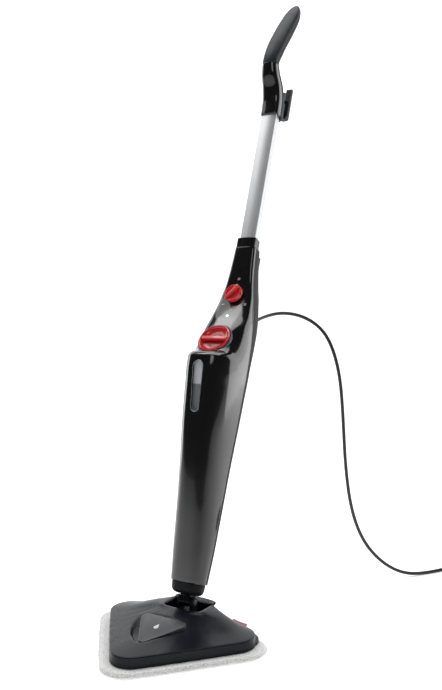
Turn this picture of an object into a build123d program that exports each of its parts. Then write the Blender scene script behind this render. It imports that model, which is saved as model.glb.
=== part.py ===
from build123d import *
import math
import os

# ------------------------------------------------------------------ driving dimensions, mm
# Row frame: the floor is z = 0, the mop faces -Y and the tilt hinge stands over the origin.
LEAN = 18.5                      # backward lean of the stick from the vertical, degrees
TILT_Z = 54.0                    # height of the tilt hinge, which runs along X
SWIVEL_Z = 32.0                  # height of the swivel hinge, which runs along Y
GAP = 0.3                        # running gap between bodies
PIN_R = 3.5                      # radius of the hinge pins
PIN_FIT = 0.05                   # radial clearance of a running pin

PAD_THICK = 8.0                  # cleaning pad
STRIP_THICK = 1.2                # hook strips under the sole
SOLE_THICK = 4.0                 # sole plate
SOLE_Z = PAD_THICK + STRIP_THICK
SOLE_TOP = SOLE_Z + SOLE_THICK
SKIRT_Z = 9.0                    # lower rim of the head shell
RIM_Z = 29.0                     # where the skirt turns into the dome
SHOULDER_Z = 36.0                # shoulder between the dome's two slopes
DOME_Z = 48.5                    # top of the dome, round the pocket
SHELL_WALL = 2.5

HOUSING_WALL = 2.6               # housing shells
PARTING = -4.0                   # depth of the parting plane between the front and rear housings
REAR_CORNER = 7.0                # corner radius of the rear housing
HOUSING_LOW = 32.0               # station of the lower end of the housing
HOUSING_HIGH = 652.0             # station of the upper end of the housing
COLLAR_HIGH = 671.0              # station where the tube leaves the collar
TUBE_HIGH = 990.0                # upper end of the tube, inside the handle
TUBE_WALL = 1.4

# Stick stations: distance along the stick, front depth, half width, rear depth, roundness power
SECTIONS = [
    (32, 24, 34, 12, 2.8),
    (100, 37, 38, 12, 2.8),
    (170, 52, 39.5, 13, 2.8),
    (240, 67, 41, 14, 2.9),
    (316, 82, 44, 15, 3.0),
    (370, 91, 45.5, 16, 3.2),
    (418, 98, 46.5, 17, 3.3),
    (427, 94, 46.5, 18, 3.3),
    (434, 72, 46.5, 19, 3.6),
    (457, 58, 46, 23, 4.0),
    (484, 45, 44, 29, 4.4),
    (510, 30, 41, 33, 4.4),
    (537, 20, 36, 35.5, 4.2),
    (555, 16, 33, 35.5, 4.0),
    (580, 13.5, 28, 33.5, 4.0),
    (610, 13.5, 24.5, 28, 4.0),
    (652, 13.5, 21.5, 21, 4.0),
]

# Control panel seam: it leaves the parting plane at SEAM_SIDE and meets the nose at SEAM_NOSE
SEAM_SIDE = 511.0
SEAM_NOSE = 428.0
SEAM_NOSE_DEPTH = -72.0

# Tank cap and steam dial: depth and station of the centre, slope of the panel there
CAP_AT = (-57.5, 457.0)
CAP_SLOPE = 25.0
CAP_R = 28.0
RING_FIT = 0.6                   # gap round the cap
RING_WIDE = 2.8                  # width of the ring round the cap
NECK_R = 18.0                    # bore of the filler neck
NECK_WALL = 2.4
DIAL_AT = (-16.4, 555.0)
DIAL_SLOPE = 11.0
DIAL_R = 18.0
SHAFT_R = 4.0
LED_AT = (-30.4, 509.5)
LED_SLOPE = 22.0

# Mains cord
CORD_D = 7.0
CORD_LENGTH = 6000.0
GLAND_AT = (33.0, 500.0)         # depth and station where the gland leaves the rear housing
GLAND_LENGTH = 32.0
GLAND_RISE = 20.0                # degrees above the horizontal
CORD_ROUTE = [
    (0, 232, 533), (5, 266, 543), (20, 306, 550), (44, 338, 545), (69, 356, 530), (90, 362, 509),
    (105, 363, 483), (115, 367, 450), (121, 372, 410), (124, 376, 362), (126, 379, 310),
    (128, 382, 257), (132, 385, 206), (138, 390, 157), (148, 399, 112), (163, 412, 73),
    (184, 429, 42), (207, 449, 20), (229, 471, 8), (248, 496, 3.8), (266, 522, 3.55),
]
COIL_AT = (352.0, 570.0)         # centre of the coil on the floor
COIL_MEAN_R = 50.0
COIL_HEIGHT = 30.0
COIL_BAND = 29.0                 # radial width of the bundle of turns
PLUG_TURN = 150.0                # direction of the plug on the coil
COIL_ENTRY = 208.0               # bearing, from the coil's centre, where the cord meets it


# ------------------------------------------------------------------ frames and helpers
def stick(shape):
    """Leans a shape drawn upright, with its station along Z, into the row frame."""
    return Pos(0, 0, TILT_Z) * Rot(-LEAN, 0, 0) * shape


def stick_point(x, depth, station):
    """Row-frame point of a stick point."""
    lean = math.radians(LEAN)
    y = depth * math.cos(lean) + station * math.sin(lean)
    z = TILT_Z + station * math.cos(lean) - depth * math.sin(lean)
    return Vector(x, y, z)


def facing(at, slope):
    """Location on the panel whose Z leaves the panel: slope is measured from the front."""
    depth, station = at
    return Pos(0, depth, station) * Rot(90 - slope, 0, 0)


def box(x0, x1, y0, y1, z0, z1):
    centre = Pos((x0 + x1) / 2, (y0 + y1) / 2, (z0 + z1) / 2)
    return centre * Box(x1 - x0, y1 - y0, z1 - z0)


def rod_x(radius, x0, x1, y=0.0, z=0.0):
    return Pos((x0 + x1) / 2, y, z) * Rot(0, 90, 0) * Cylinder(radius, x1 - x0)


def rod_y(radius, y0, y1, x=0.0, z=0.0):
    return Pos(x, (y0 + y1) / 2, z) * Rot(90, 0, 0) * Cylinder(radius, y1 - y0)


def rod_z(radius, z0, z1, x=0.0, y=0.0):
    return Pos(x, y, (z0 + z1) / 2) * Cylinder(radius, z1 - z0)


def slab(sketch, z0, z1):
    return Pos(0, 0, z0) * extrude(sketch, z1 - z0)


def group(shapes):
    return Compound([solid for shape in shapes for solid in shape.solids()])


def at_station(station):
    """The section's front depth, half width, rear depth and power at a station."""
    for low, high in zip(SECTIONS, SECTIONS[1:]):
        if low[0] <= station <= high[0]:
            share = (station - low[0]) / (high[0] - low[0])
            return [a + (b - a) * share for a, b in zip(low[1:], high[1:])]
    raise ValueError(f"no section at station {station}")


# ------------------------------------------------------------------ outlines
def delta(half_width, tip, rear, tip_r, corner_r):
    """Rounded triangle: its tip points to -Y and its long side lies at y = rear."""
    corners = [
        Pos(half_width - corner_r, rear - corner_r) * Circle(corner_r),
        Pos(corner_r - half_width, rear - corner_r) * Circle(corner_r),
        Pos(0, tip + tip_r) * Circle(tip_r),
    ]
    edges = [edge for corner in corners for edge in corner.edges()]
    return make_hull(edges)


def front_section(station, inset=0.0, back=PARTING):
    """Front half of the housing's section: a superellipse closed by a straight line."""
    front, half, _, power = at_station(station)
    a = half - inset
    b = front - inset + PARTING
    steps = 12
    points = []
    for i in range(steps + 1):
        angle = math.pi * i / steps
        x = math.copysign(abs(math.cos(angle)) ** (2 / power), math.cos(angle)) * a
        points.append((x, PARTING - b * math.sin(angle) ** (2 / power)))
    curve = Spline(*points)
    if back == PARTING:
        rest = Line(points[-1], points[0])
    else:
        rest = Polyline(points[-1], (-a, back), (a, back), points[0])
    return Pos(0, 0, station) * make_face([curve, rest])


def rear_section(station, inset=0.0, front=PARTING):
    """Rear half of the housing's section: a box with rounded rear corners."""
    _, half, rear, _ = at_station(station)
    a = half - inset
    narrow = 0.86 * a
    corner = REAR_CORNER - 0.7 * inset
    outline = Polyline(
        (-a, front), (a, front), (a, PARTING + 0.5), (narrow, rear - inset),
        (-narrow, rear - inset), (-a, PARTING + 0.5), (-a, front),
    )
    if front == PARTING:
        outline = Polyline(
            (-a, front), (a, front), (narrow, rear - inset), (-narrow, rear - inset), (-a, front)
        )
    face = make_face(outline)
    back = [v for v in face.vertices() if v.Y > rear - inset - 1]
    return Pos(0, 0, station) * fillet(back, corner)


def stations(low, high):
    inside = [row[0] for row in SECTIONS if low < row[0] < high]
    return [low, *inside, high]


def front_body(low, high, inset=0.0, back=PARTING):
    return loft([front_section(s, inset, back) for s in stations(low, high)], ruled=True)


def rear_body(low, high, inset=0.0, front=PARTING):
    return loft([rear_section(s, inset, front) for s in stations(low, high)], ruled=True)


def above_seam(lift=0.0):
    """Space of the control panel: above the slanting seam and above the nose seam."""
    run = PARTING - SEAM_NOSE_DEPTH
    rise = SEAM_SIDE - SEAM_NOSE
    angle = math.degrees(math.atan2(rise, run))
    slanted = Pos(0, PARTING, SEAM_SIDE + lift) * Rot(angle, 0, 0) * box(-90, 90, -300, 300, 0, 300)
    return slanted & box(-90, 90, -200, 90, SEAM_NOSE + lift, 800)


# ------------------------------------------------------------------ head: pad, sole and shell
PAD_OUTLINE = (171.0, -212.0, 40.0, 46.0, 45.0)
SHELL_OUTLINE = (146.0, -186.0, 33.0, 36.0, 38.0)
SOLE_OUTLINE = (141.0, -180.0, 28.0, 32.0, 33.0)
TAG_LENGTH = 19.0
TAG_RISE = 50.0                  # the tag stands up behind the pad, degrees
SOLE_SCREWS = [(-108, -2), (108, -2), (-60, -92), (60, -92), (0, -152)]
NOZZLES = [(x, y) for y in (-32, -66, -100) for x in (-34, 0, 34) if abs(x) < 60 + y / 2.6]
SPOUT_AT = (0.0, 24.8)           # steam spout of the manifold, behind the joint
SPOUT_HEIGHT = 13.0
POCKET_X = 37.0                  # opening in the dome round the joint
POCKET_FRONT = 22.0
POCKET_REAR = 31.5
NECK_PORT = 21.0                 # station of the steam port at the rear of the neck
BADGE_SLOPE = 9.0
BADGE_OUTLINE = (42.0, -38.0, 29.0, 11.0, 12.0)
BOSS_R = 4.0                     # screw bosses


def cleaning_pad():
    return slab(delta(*PAD_OUTLINE), 0, PAD_THICK)


def pad_tag():
    return Pos(82, PAD_OUTLINE[2] + 0.9, 3.0) * Rot(TAG_RISE, 0, 0) * box(-16, 16, 0, TAG_LENGTH, 0, 1)


def grip_strips():
    strips = []
    for y, half in ((8, 95), (-40, 78), (-88, 48), (-132, 22)):
        strips.append(box(-half, half, y - 9, y + 9, PAD_THICK, SOLE_Z))
    return group(strips)


def sole_plate():
    plate = slab(delta(*SOLE_OUTLINE), SOLE_Z, SOLE_TOP)
    for x, y in NOZZLES:
        plate -= rod_z(4.0, 0, 40, x, y)
    for x, y in SOLE_SCREWS:
        plate -= rod_z(1.6, 0, 40, x, y)
    return plate


def steam_nozzles():
    nozzles = []
    for x, y in NOZZLES:
        nozzle = rod_z(4.0, SOLE_Z, SOLE_TOP, x, y) + rod_z(5.5, SOLE_TOP, SOLE_TOP + 1.5, x, y)
        nozzles.append(nozzle - rod_z(1.2, 0, 40, x, y))
    return group(nozzles)


def steam_manifold():
    """Flat steam duct over the nozzles, with a channel round the joint to the hose spout."""
    low = SOLE_TOP + 1.5
    duct = box(-44, 44, -108, -24, low, low + 6) - box(-42, 42, -106, -26, low - 1, low + 4.5)
    side = box(24, 34, -24, 29.5, low, low + 6) - box(25.5, 32.5, -30, 28, low - 1, low + 4.5)
    rear = box(-7, 24, 20, 29.5, low, low + 6) - box(-5.5, 26, 21.5, 28, low - 1, low + 4.5)
    spout = rod_z(3.2, low + 5, low + SPOUT_HEIGHT, *SPOUT_AT)
    return duct + side + rear + spout - rod_z(2.0, low - 1, low + 30, *SPOUT_AT)


def joint_hose():
    """Flexible hose from the duct's spout, behind the joint, to the neck's rear port."""
    port = stick_point(0, CHEEK_IN - GAP + 0.02, NECK_PORT)
    away = stick_point(0, CHEEK_IN - GAP + 7, NECK_PORT)
    low = SOLE_TOP + 1.5 + SPOUT_HEIGHT + 0.02
    x, y = SPOUT_AT
    route = [(x, y, low), (x, y, low + 20), (x, away.Y, away.Z), (x, port.Y, port.Z)]
    return fold(route, [12, 3], 3.2)


def dome(inset=0.0):
    """Head shell body: a skirt and a dome that rises towards the hinge pocket."""
    half, tip, rear, tip_r, corner_r = SHELL_OUTLINE
    rim = delta(half - inset, tip + inset, rear - inset, tip_r - inset, corner_r - inset)
    mid = delta(half - 30 - inset, tip + 50 + inset, rear - 6 - inset, 26 - inset, 30 - inset)
    top = delta(60 - inset, -52 + inset, rear - 12 - inset, 24 - inset, 22 - inset)
    levels = [(rim, SKIRT_Z - inset), (rim, RIM_Z), (mid, SHOULDER_Z - inset), (top, DOME_Z - inset)]
    return loft([Pos(0, 0, z) * outline for outline, z in levels], ruled=True)


def head_shell():
    shell = dome() - dome(SHELL_WALL)
    shell -= box(-POCKET_X, POCKET_X, -POCKET_FRONT, POCKET_REAR, SOLE_TOP, 80)
    for x, y in SOLE_SCREWS:
        boss = rod_z(BOSS_R, SOLE_TOP + 0.05, DOME_Z, x, y) & dome(0.5)
        shell += boss - rod_z(1.3, 0, RIM_Z - 4, x, y)
    return shell


def sole_screws():
    screws = []
    for x, y in SOLE_SCREWS:
        screw = rod_z(1.3, SOLE_Z + 0.2, RIM_Z - 8, x, y)
        screws.append(screw + rod_z(1.55, SOLE_Z + 0.2, SOLE_TOP - 1, x, y))
    return group(screws)


def badge_place():
    """The sloping place on the shell's front where the badge lies."""
    return Pos(0, -84, 38.5) * Rot(BADGE_SLOPE, 0, 0)


def badge_outline(grow):
    half, tip, rear, tip_r, corner_r = BADGE_OUTLINE
    return delta(half + grow, tip - grow, rear + grow, tip_r + grow, corner_r + grow)


def badge_bezel():
    ring = slab(badge_outline(4.0), -8, 4.5) - slab(badge_outline(0.3), -9, 6)
    return badge_place() * ring - dome()


def head_badge():
    return badge_place() * slab(badge_outline(0.0), -8, 3.2) - dome()


# ------------------------------------------------------------------ head: cardan joint
EAR_IN = 12.5                    # inner face of the swivel bracket's ears, along Y
EAR_OUT = 18.5
CHEEK_IN = 10.3                  # inner face of the cradle's cheeks, along X
CHEEK_OUT = 16.0
HUB_R = 9.0


def swivel_bracket():
    """Base on the sole plate with two ears that hold the swivel pin."""
    base = box(-20, 20, -EAR_OUT, EAR_OUT, SOLE_TOP, SOLE_TOP + 3)
    for side in (-1, 1):
        y0, y1 = sorted((side * EAR_IN, side * EAR_OUT))
        base += box(-9, 9, y0, y1, SOLE_TOP, SWIVEL_Z) + rod_y(9, y0, y1, z=SWIVEL_Z)
    return base - rod_y(PIN_R, -30, 30, z=SWIVEL_Z)


def swivel_pin():
    return rod_y(PIN_R, -EAR_OUT - 1.5, EAR_OUT + 1.5, z=SWIVEL_Z)


def hinge_cradle():
    """Rocker on the swivel pin with two cheeks that hold the tilt pin."""
    reach = EAR_IN - GAP
    cradle = rod_y(HUB_R, -reach, reach, z=SWIVEL_Z)
    cradle += box(-CHEEK_OUT, CHEEK_OUT, -8, 8, SWIVEL_Z, SWIVEL_Z + 8)
    for side in (-1, 1):
        x0, x1 = sorted((side * CHEEK_IN, side * CHEEK_OUT))
        cradle += box(x0, x1, -8, 8, SWIVEL_Z + 4, TILT_Z) + rod_x(8, x0, x1, z=TILT_Z)
    cradle -= rod_x(9.6, -CHEEK_IN, CHEEK_IN, z=TILT_Z)
    cradle -= rod_y(PIN_R + PIN_FIT, -30, 30, z=SWIVEL_Z)
    return cradle - rod_x(PIN_R, -30, 30, z=TILT_Z)


def tilt_pin():
    pin = rod_x(PIN_R, -CHEEK_OUT - 0.5, CHEEK_OUT + 0.5, z=TILT_Z)
    head = rod_x(5.0, CHEEK_OUT + 0.02, CHEEK_OUT + 1.6, z=TILT_Z)
    clip = rod_x(5.0, -CHEEK_OUT - 1.6, -CHEEK_OUT - 0.02, z=TILT_Z)
    return pin + head + clip


# ------------------------------------------------------------------ stick: neck and base
def neck():
    """Tongue on the tilt pin, with the round stem that the base cap clamps."""
    half = CHEEK_IN - GAP
    tongue = rod_x(8.5, -half, half) + box(-half, half, -8.5, 8.5, 0, 13)
    stem = rod_z(half, 9, 31.5)
    flange = rod_z(12, 25, 29)
    port = rod_y(2.2, 0, 20, z=NECK_PORT)
    body = tongue + stem + flange
    return body - rod_x(PIN_R + PIN_FIT, -30, 30) - rod_z(4.2, 15, 60) - port


def base_cap():
    low = Pos(0, -2, 16.5) * Ellipse(19, 12)
    middle = Pos(0, -3, 21) * Ellipse(24, 13.5)
    high = Pos(0, -6, HOUSING_LOW - 0.1) * Ellipse(32, 17)
    body = loft([low, middle, high], ruled=True)
    lip = Pos(0, -5, 0) * slab(Ellipse(25, 11.5), HOUSING_LOW - 1, HOUSING_LOW + 5)
    stem = rod_z(CHEEK_IN - GAP + 0.02, 0, 60)
    return body + lip - stem - rod_z(12.02, 24.98, 60) - rod_y(3.5, 0, 30, z=NECK_PORT)


# ------------------------------------------------------------------ stick: housing
SCREW_STATIONS = (54, 186, 330, 450, 590)


def front_housing():
    shell = front_body(HOUSING_LOW, HOUSING_HIGH) - front_body(HOUSING_LOW, HOUSING_HIGH, HOUSING_WALL, 10)
    shell -= above_seam()
    return shell - window_cut(0.0)


def control_panel():
    shell = front_body(HOUSING_LOW, HOUSING_HIGH) - front_body(HOUSING_LOW, HOUSING_HIGH, HOUSING_WALL, 10)
    panel = shell & above_seam(0.35)
    panel -= facing(CAP_AT, CAP_SLOPE) * rod_z(CAP_R + RING_FIT + RING_WIDE + 0.2, -12, 30)
    panel -= facing(DIAL_AT, DIAL_SLOPE) * rod_z(SHAFT_R + PIN_FIT, -20, 20)
    return panel - facing(LED_AT, LED_SLOPE) * rod_z(2.5, -20, 20)


WINDOW_LOW = 316.0
WINDOW_HIGH = 406.0


def window_cut(inset):
    """Rounded slot along the nose, wider at its upper end."""
    low_r = 4.5 - inset
    high_r = 6.5 - inset
    low = Pos(0, WINDOW_LOW + 4.5) * Circle(low_r)
    high = Pos(0, WINDOW_HIGH - 10) * Circle(high_r)
    slot = make_hull([*low.edges(), *high.edges()])
    tool = Pos(0, -130, 0) * Rot(90, 0, 0) * extrude(slot, -80)
    return tool & box(-40, 40, -130, -60, 300, 430)


def window_lens():
    """Clear strip flush behind the housing's nose."""
    band = front_body(300, 425, 0.8, 10) - front_body(300, 425, 3.4, 10)
    return band & window_cut(0.15)


def rear_housing():
    inner = rear_body(HOUSING_LOW, HOUSING_HIGH, HOUSING_WALL, PARTING - 6)
    shell = rear_body(HOUSING_LOW, HOUSING_HIGH) - inner
    for station in SCREW_STATIONS:
        rear = at_station(station)[2]
        shell += rod_y(BOSS_R, PARTING + 3, rear - 1, z=station)
        shell -= rod_y(1.6, -20, rear + 5, z=station) + rod_y(3.4, rear - 6, rear + 5, z=station)
    return shell - gland_axis() * rod_z(6.02, -30, 20)


def housing_screws():
    screws = []
    for station in SCREW_STATIONS:
        rear = at_station(station)[2]
        head = rod_y(3.2, rear - 6, rear - 3.5, z=station)
        screws.append(head + rod_y(1.5, PARTING + 1, rear - 5, z=station))
    return group(screws)


# ------------------------------------------------------------------ stick: water and steam
TANK_INSET = 6.5
TANK_LOW = 300.0
TANK_BACK = -14.0
NECK_LENGTH = 13.0


def tank_shape(inset):
    body = front_body(TANK_LOW + inset, 520, TANK_INSET + inset, PARTING)
    body &= box(-90, 90, -200, TANK_BACK - inset, TANK_LOW + inset, 560)
    lid = facing(CAP_AT, CAP_SLOPE) * box(-90, 90, -90, 200, -200, -NECK_LENGTH - 4.5 - inset)
    return body & lid & box(-90, 90, -200, 0, TANK_LOW + inset, 498 - inset)


def water_tank():
    tank = tank_shape(0) - tank_shape(1.8)
    tank -= facing(CAP_AT, CAP_SLOPE) * rod_z(NECK_R + NECK_WALL, -NECK_LENGTH - 14, 0)
    return tank


def filler_neck():
    low = -NECK_LENGTH - 6.5
    ring = rod_z(NECK_R + NECK_WALL, low, -5.2) + rod_z(CAP_R - 1, -6.2, -4.2)
    return facing(CAP_AT, CAP_SLOPE) * (ring - rod_z(NECK_R, low - 5, 5))


def cap_seal():
    ring = rod_z(NECK_R + 6.4, -3.9, -2.1) - rod_z(NECK_R + 0.4, -5, 0)
    return facing(CAP_AT, CAP_SLOPE) * ring


def cap_plug():
    """Threaded plug that goes into the filler neck."""
    plug = rod_z(NECK_R - 0.5, -13, -1.8) - rod_z(NECK_R - 3.2, -14, -4.0)
    return facing(CAP_AT, CAP_SLOPE) * plug


def tank_cap():
    """Round cap with a finger bar between two hollows."""
    disc = rod_z(CAP_R, -1.8, 5.0)
    scoop = rod_z(CAP_R - 3.0, 0.5, 10) - box(-CAP_R, CAP_R, -5.0, 5.0, -2, 9)
    bar = rod_z(CAP_R - 3.2, 0.4, 8.0) & box(-CAP_R, CAP_R, -4.0, 4.0, -2, 9)
    return facing(CAP_AT, CAP_SLOPE) * (disc - scoop + bar)


def cap_surround():
    """Ring that fills the gap between the cap and the panel."""
    ring = rod_z(CAP_R + RING_FIT + RING_WIDE, -4.0, 1.6) - rod_z(CAP_R + RING_FIT, -9, 5)
    return facing(CAP_AT, CAP_SLOPE) * ring


def control_knob():
    """Steam dial: a round skirt with a wing pointer across it."""
    skirt = Pos(0, 0, 0.5) * Cone(DIAL_R, DIAL_R - 2.5, 7, align=(Align.CENTER, Align.CENTER, Align.MIN))
    wing = box(-3.2, 3.2, -DIAL_R + 1.5, DIAL_R - 1.5, 4, 14) & rod_z(DIAL_R - 1.2, 0, 20)
    nose = Pos(0, -DIAL_R + 1.0, 0.5) * Cone(4.0, 2.0, 7, align=(Align.CENTER, Align.CENTER, Align.MIN))
    bore = rod_z(SHAFT_R, -1, 5.0)
    return facing(DIAL_AT, DIAL_SLOPE) * Pos(0, 0, 2.3) * Rot(0, 0, -38) * (skirt + wing + nose - bore)


def knob_shaft():
    shaft = rod_z(SHAFT_R, -16.0, 7.3) - box(2.8, 5, -5, 5, 3.0, 8)
    return facing(DIAL_AT, DIAL_SLOPE) * shaft


def dial_switch():
    """Rotary switch body behind the panel, open for the shaft."""
    body = box(-12, 12, -12, 12, -22, -6.5)
    return facing(DIAL_AT, DIAL_SLOPE) * (body - rod_z(SHAFT_R + PIN_FIT, -18, 0))


def led_lens():
    lens = rod_z(2.5, -3.0, 0.5) + rod_z(3.2, -5.6, -3.4)
    return facing(LED_AT, LED_SLOPE) * lens


def control_board():
    return box(-13, 13, 8.0, 9.6, 520, 578)


def pump():
    body = rod_z(16, 205, 255, 0, -24) + rod_z(9, 197, 263, 0, -24) + rod_z(3, 190, 272, 0, -24)
    return body


def pump_mount():
    ring = rod_z(21, 222, 238, 0, -24) - rod_z(16.0, 200, 260, 0, -24)
    return ring + box(-6, 6, -4.5, 8.5, 224, 236)


def boiler():
    body = box(-21, 21, -24, 4, 76, 172)
    body = fillet(body.edges().filter_by(Axis.Z), 9)
    for z in (92, 108, 124, 140, 156):
        body -= box(-30, 30, -30, -21.5, z - 2, z + 2)
    return body + rod_z(3.2, 64, 180, 0, -12)


def thermostat():
    return rod_y(8, 4.0, 7.6, z=120) + box(-10, 10, 4.0, 5.2, 116, 124)


def fold(points, radii, radius):
    """Tube along straight runs joined by tangent arcs."""
    path = FilletPolyline(*points, radius=radii)
    start = Plane(origin=path @ 0, z_dir=path % 0)
    return sweep(start * Circle(radius), path=path)


def suction_hose():
    return fold([(0, -24, 272), (0, -24, 286), (0, -42, 292), (0, -42, 300)], [6, 5], 3.0)


def pressure_hose():
    return fold([(0, -24, 190), (0, -24, 186.5), (0, -12, 183.5), (0, -12, 180)], [3, 3], 2.6)


def steam_hose():
    return fold([(0, -12, 64), (0, -12, 56), (0, 0, 46), (0, 0, 24)], [6, 6], 2.6)


# ------------------------------------------------------------------ stick: collar, tube and hooks
def tube_outline(grow=0.0):
    """Tube section: a bowed front, flat flanks that close in, and a rounded rear."""
    half, front, rear, narrow = 17 + grow, -9 - grow, 16 + grow, 12.5 + grow
    sides = Polyline((half, front + 2.5), (narrow, rear), (-narrow, rear), (-half, front + 2.5))
    bow = ThreePointArc((-half, front + 2.5), (0, front), (half, front + 2.5))
    face = make_face([sides, bow])
    back = [v for v in face.vertices() if v.Y > 0]
    face = fillet(back, 6.0 + grow)
    edge = [v for v in face.vertices() if v.Y < front + 3]
    return fillet(edge, 1.5)


def extension_tube():
    low, high = HOUSING_HIGH - 20, TUBE_HIGH
    tube = slab(tube_outline(), low, high) - slab(tube_outline(-TUBE_WALL), low - 1, high + 1)
    return tube - rod_y(3.0, 5, 40, z=HOUSING_HIGH - 12)


def top_collar():
    outer = slab(tube_outline(3.2), HOUSING_HIGH + 0.1, COLLAR_HIGH)
    spigot = slab(tube_outline(1.0), HOUSING_HIGH - 20, HOUSING_HIGH + 1)
    body = outer + spigot - slab(tube_outline(0.02), HOUSING_HIGH - 40, COLLAR_HIGH + 1)
    return body - rod_y(3.1, 5, 40, z=HOUSING_HIGH - 12)


def tube_latch():
    """Spring button inside the tube that locks it in the collar."""
    button = rod_y(2.9, 13.0, 16.6, z=HOUSING_HIGH - 12)
    return button + box(-4, 4, 12.0, 13.2, HOUSING_HIGH - 28, HOUSING_HIGH - 6)


def lower_cord_hook():
    """Fixed hook on the rear housing that points down."""
    arm = box(-7, 7, 10, 42, 640, 648)
    tongue = box(-7, 7, 36, 42, 606, 648)
    foot = box(-9, 9, 10, 27, 626, 650)
    tip = tongue.edges().filter_by(Axis.X).group_by(Axis.Z)[0]
    hook = arm + fillet(tip, 2.5) + foot
    return hook - rear_body(560, HOUSING_HIGH) - slab(tube_outline(3.3), 600, 700)


# ------------------------------------------------------------------ handle
# station, depth, tilt of the section, half width, half thickness, corner radius
GRIP_ROWS = [
    (932, 3.5, 0, 19.5, 15.5, 6.5),
    (960, 1.5, -6, 19.5, 15.8, 7.0),
    (988, -9, -28, 19.0, 15.5, 9.0),
    (1012, -26, -24, 17.0, 14.5, 11.0),
    (1032, -32, 5, 15.5, 14.0, 12.0),
    (1062, -25, 20, 17.5, 15.0, 12.5),
    (1110, -6, 21, 18.0, 15.5, 13.0),
    (1158, 15, 22, 16.5, 14.0, 12.0),
    (1186, 26, 24, 12.0, 10.0, 8.5),
    (1197, 31, 26, 6.5, 5.5, 5.0),
]
HANDLE_WALL = 2.4
HANDLE_PARTING = 1.5             # the parting line, behind the middle of each section
HANDLE_SCREWS = (1080, 1140)


def handle_body(inset=0.0):
    """Boxy sections with rounded corners along the bent line of the handle."""
    faces = []
    for station, depth, tilt, half, thick, corner in GRIP_ROWS:
        outline = RectangleRounded(2 * (half - inset), 2 * (thick - inset), corner - inset)
        faces.append(Pos(0, depth, station) * Rot(-tilt, 0, 0) * outline)
    return loft(faces, ruled=True)


def handle_cut(front):
    """Space in front of, or behind, the handle's parting surface."""
    line = [(HANDLE_PARTING + depth, station) for station, depth, *_ in GRIP_ROWS]
    side = -120 if front else 120
    outline = Polyline(
        (line[0][0], 900), *line, (line[-1][0] + 4, 1230), (side, 1230), (side, 900), (line[0][0], 900)
    )
    return extrude(Plane.YZ * make_face(outline), 60, both=True)


def handle_front():
    body = handle_body() - handle_body(HANDLE_WALL)
    body &= handle_cut(True)
    body -= slab(tube_outline(0.05), 900, TUBE_HIGH + 0.5)
    return body - grip_zone()


def handle_rear():
    body = handle_body() - handle_body(HANDLE_WALL)
    for station in HANDLE_SCREWS:
        depth = handle_depth(station)
        body += rod_y(BOSS_R, depth + 4, depth + 30, z=station) & handle_body(0.5)
    body &= handle_cut(False)
    for station in HANDLE_SCREWS:
        depth = handle_depth(station)
        body -= rod_y(1.6, depth, depth + 40, z=station) + rod_y(3.0, depth + 11, depth + 40, z=station)
    return body - slab(tube_outline(0.05), 900, TUBE_HIGH + 0.5)


def grip_zone(lift=0.0):
    """Space above the seam between the handle's front shell and the soft grip pad."""
    return Pos(0, -32, 1026 + lift) * Rot(6, 0, 0) * box(-60, 60, -60, 120, 0, 220)


def grip_pad():
    body = (handle_body() - handle_body(HANDLE_WALL)) & handle_cut(True)
    return body & grip_zone(0.3)


HOOK_DEPTH = 46.0                # the cord hook turns about a line along the stick at this depth
HOOK_BASE = 977.0                # station of the turning hook's base


def hook_bracket():
    """Arm at the rear of the handle that carries the cord hook's pivot."""
    arm = box(-8, 8, 12, HOOK_DEPTH, 944, HOOK_BASE - 0.4)
    boss = rod_z(13.0, 952, HOOK_BASE - 0.4, 0, HOOK_DEPTH)
    body = arm + boss
    body -= handle_body() + slab(tube_outline(0.1), 900, TUBE_HIGH + 1)
    return body - rod_z(3.5, 940, HOOK_BASE + 5, 0, HOOK_DEPTH)


def hook_pivot():
    head = rod_z(5.5, HOOK_BASE + 8.0, HOOK_BASE + 10, 0, HOOK_DEPTH)
    return head + rod_z(3.5, 958, HOOK_BASE + 9, 0, HOOK_DEPTH)


def upper_cord_hook():
    """Cord hook with two prongs that point up and a notch between them."""
    base = rod_z(13.0, HOOK_BASE, HOOK_BASE + 7.8, 0, HOOK_DEPTH)
    inner = box(-6, 6, HOOK_DEPTH - 17, HOOK_DEPTH - 10, HOOK_BASE + 1, 1001)
    outer = box(-6, 6, HOOK_DEPTH + 8, HOOK_DEPTH + 15, HOOK_BASE + 1, 1023)
    inner = fillet(inner.edges().filter_by(Axis.X).group_by(Axis.Z)[-1], 2.5)
    outer = fillet(outer.edges().filter_by(Axis.X).group_by(Axis.Z)[-1], 2.5)
    body = base + inner + outer
    return body - rod_z(3.55, HOOK_BASE - 2, HOOK_BASE + 20, 0, HOOK_DEPTH)


def handle_screws():
    screws = []
    for station in HANDLE_SCREWS:
        depth = handle_depth(station)
        head = rod_y(2.8, depth + 11.05, depth + 13, z=station)
        screws.append(head + rod_y(1.5, depth + 5, depth + 12, z=station))
    return group(screws)


def handle_depth(station):
    for low, high in zip(GRIP_ROWS, GRIP_ROWS[1:]):
        if low[0] <= station <= high[0]:
            return low[1] + (high[1] - low[1]) * (station - low[0]) / (high[0] - low[0])
    raise ValueError(f"no handle at station {station}")


# ------------------------------------------------------------------ mains cord
def gland_axis():
    depth, station = GLAND_AT
    return Pos(0, depth, station) * Rot(-(90 - GLAND_RISE - LEAN), 0, 0)


def cord_gland():
    """Tapered strain relief with a flange inside the rear housing."""
    boot = Cone(6.0, 4.4, GLAND_LENGTH, align=(Align.CENTER, Align.CENTER, Align.MIN))
    return gland_axis() * (boot + rod_z(6.0, -20, 0.01) + rod_z(8.0, -22, -18))


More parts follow.
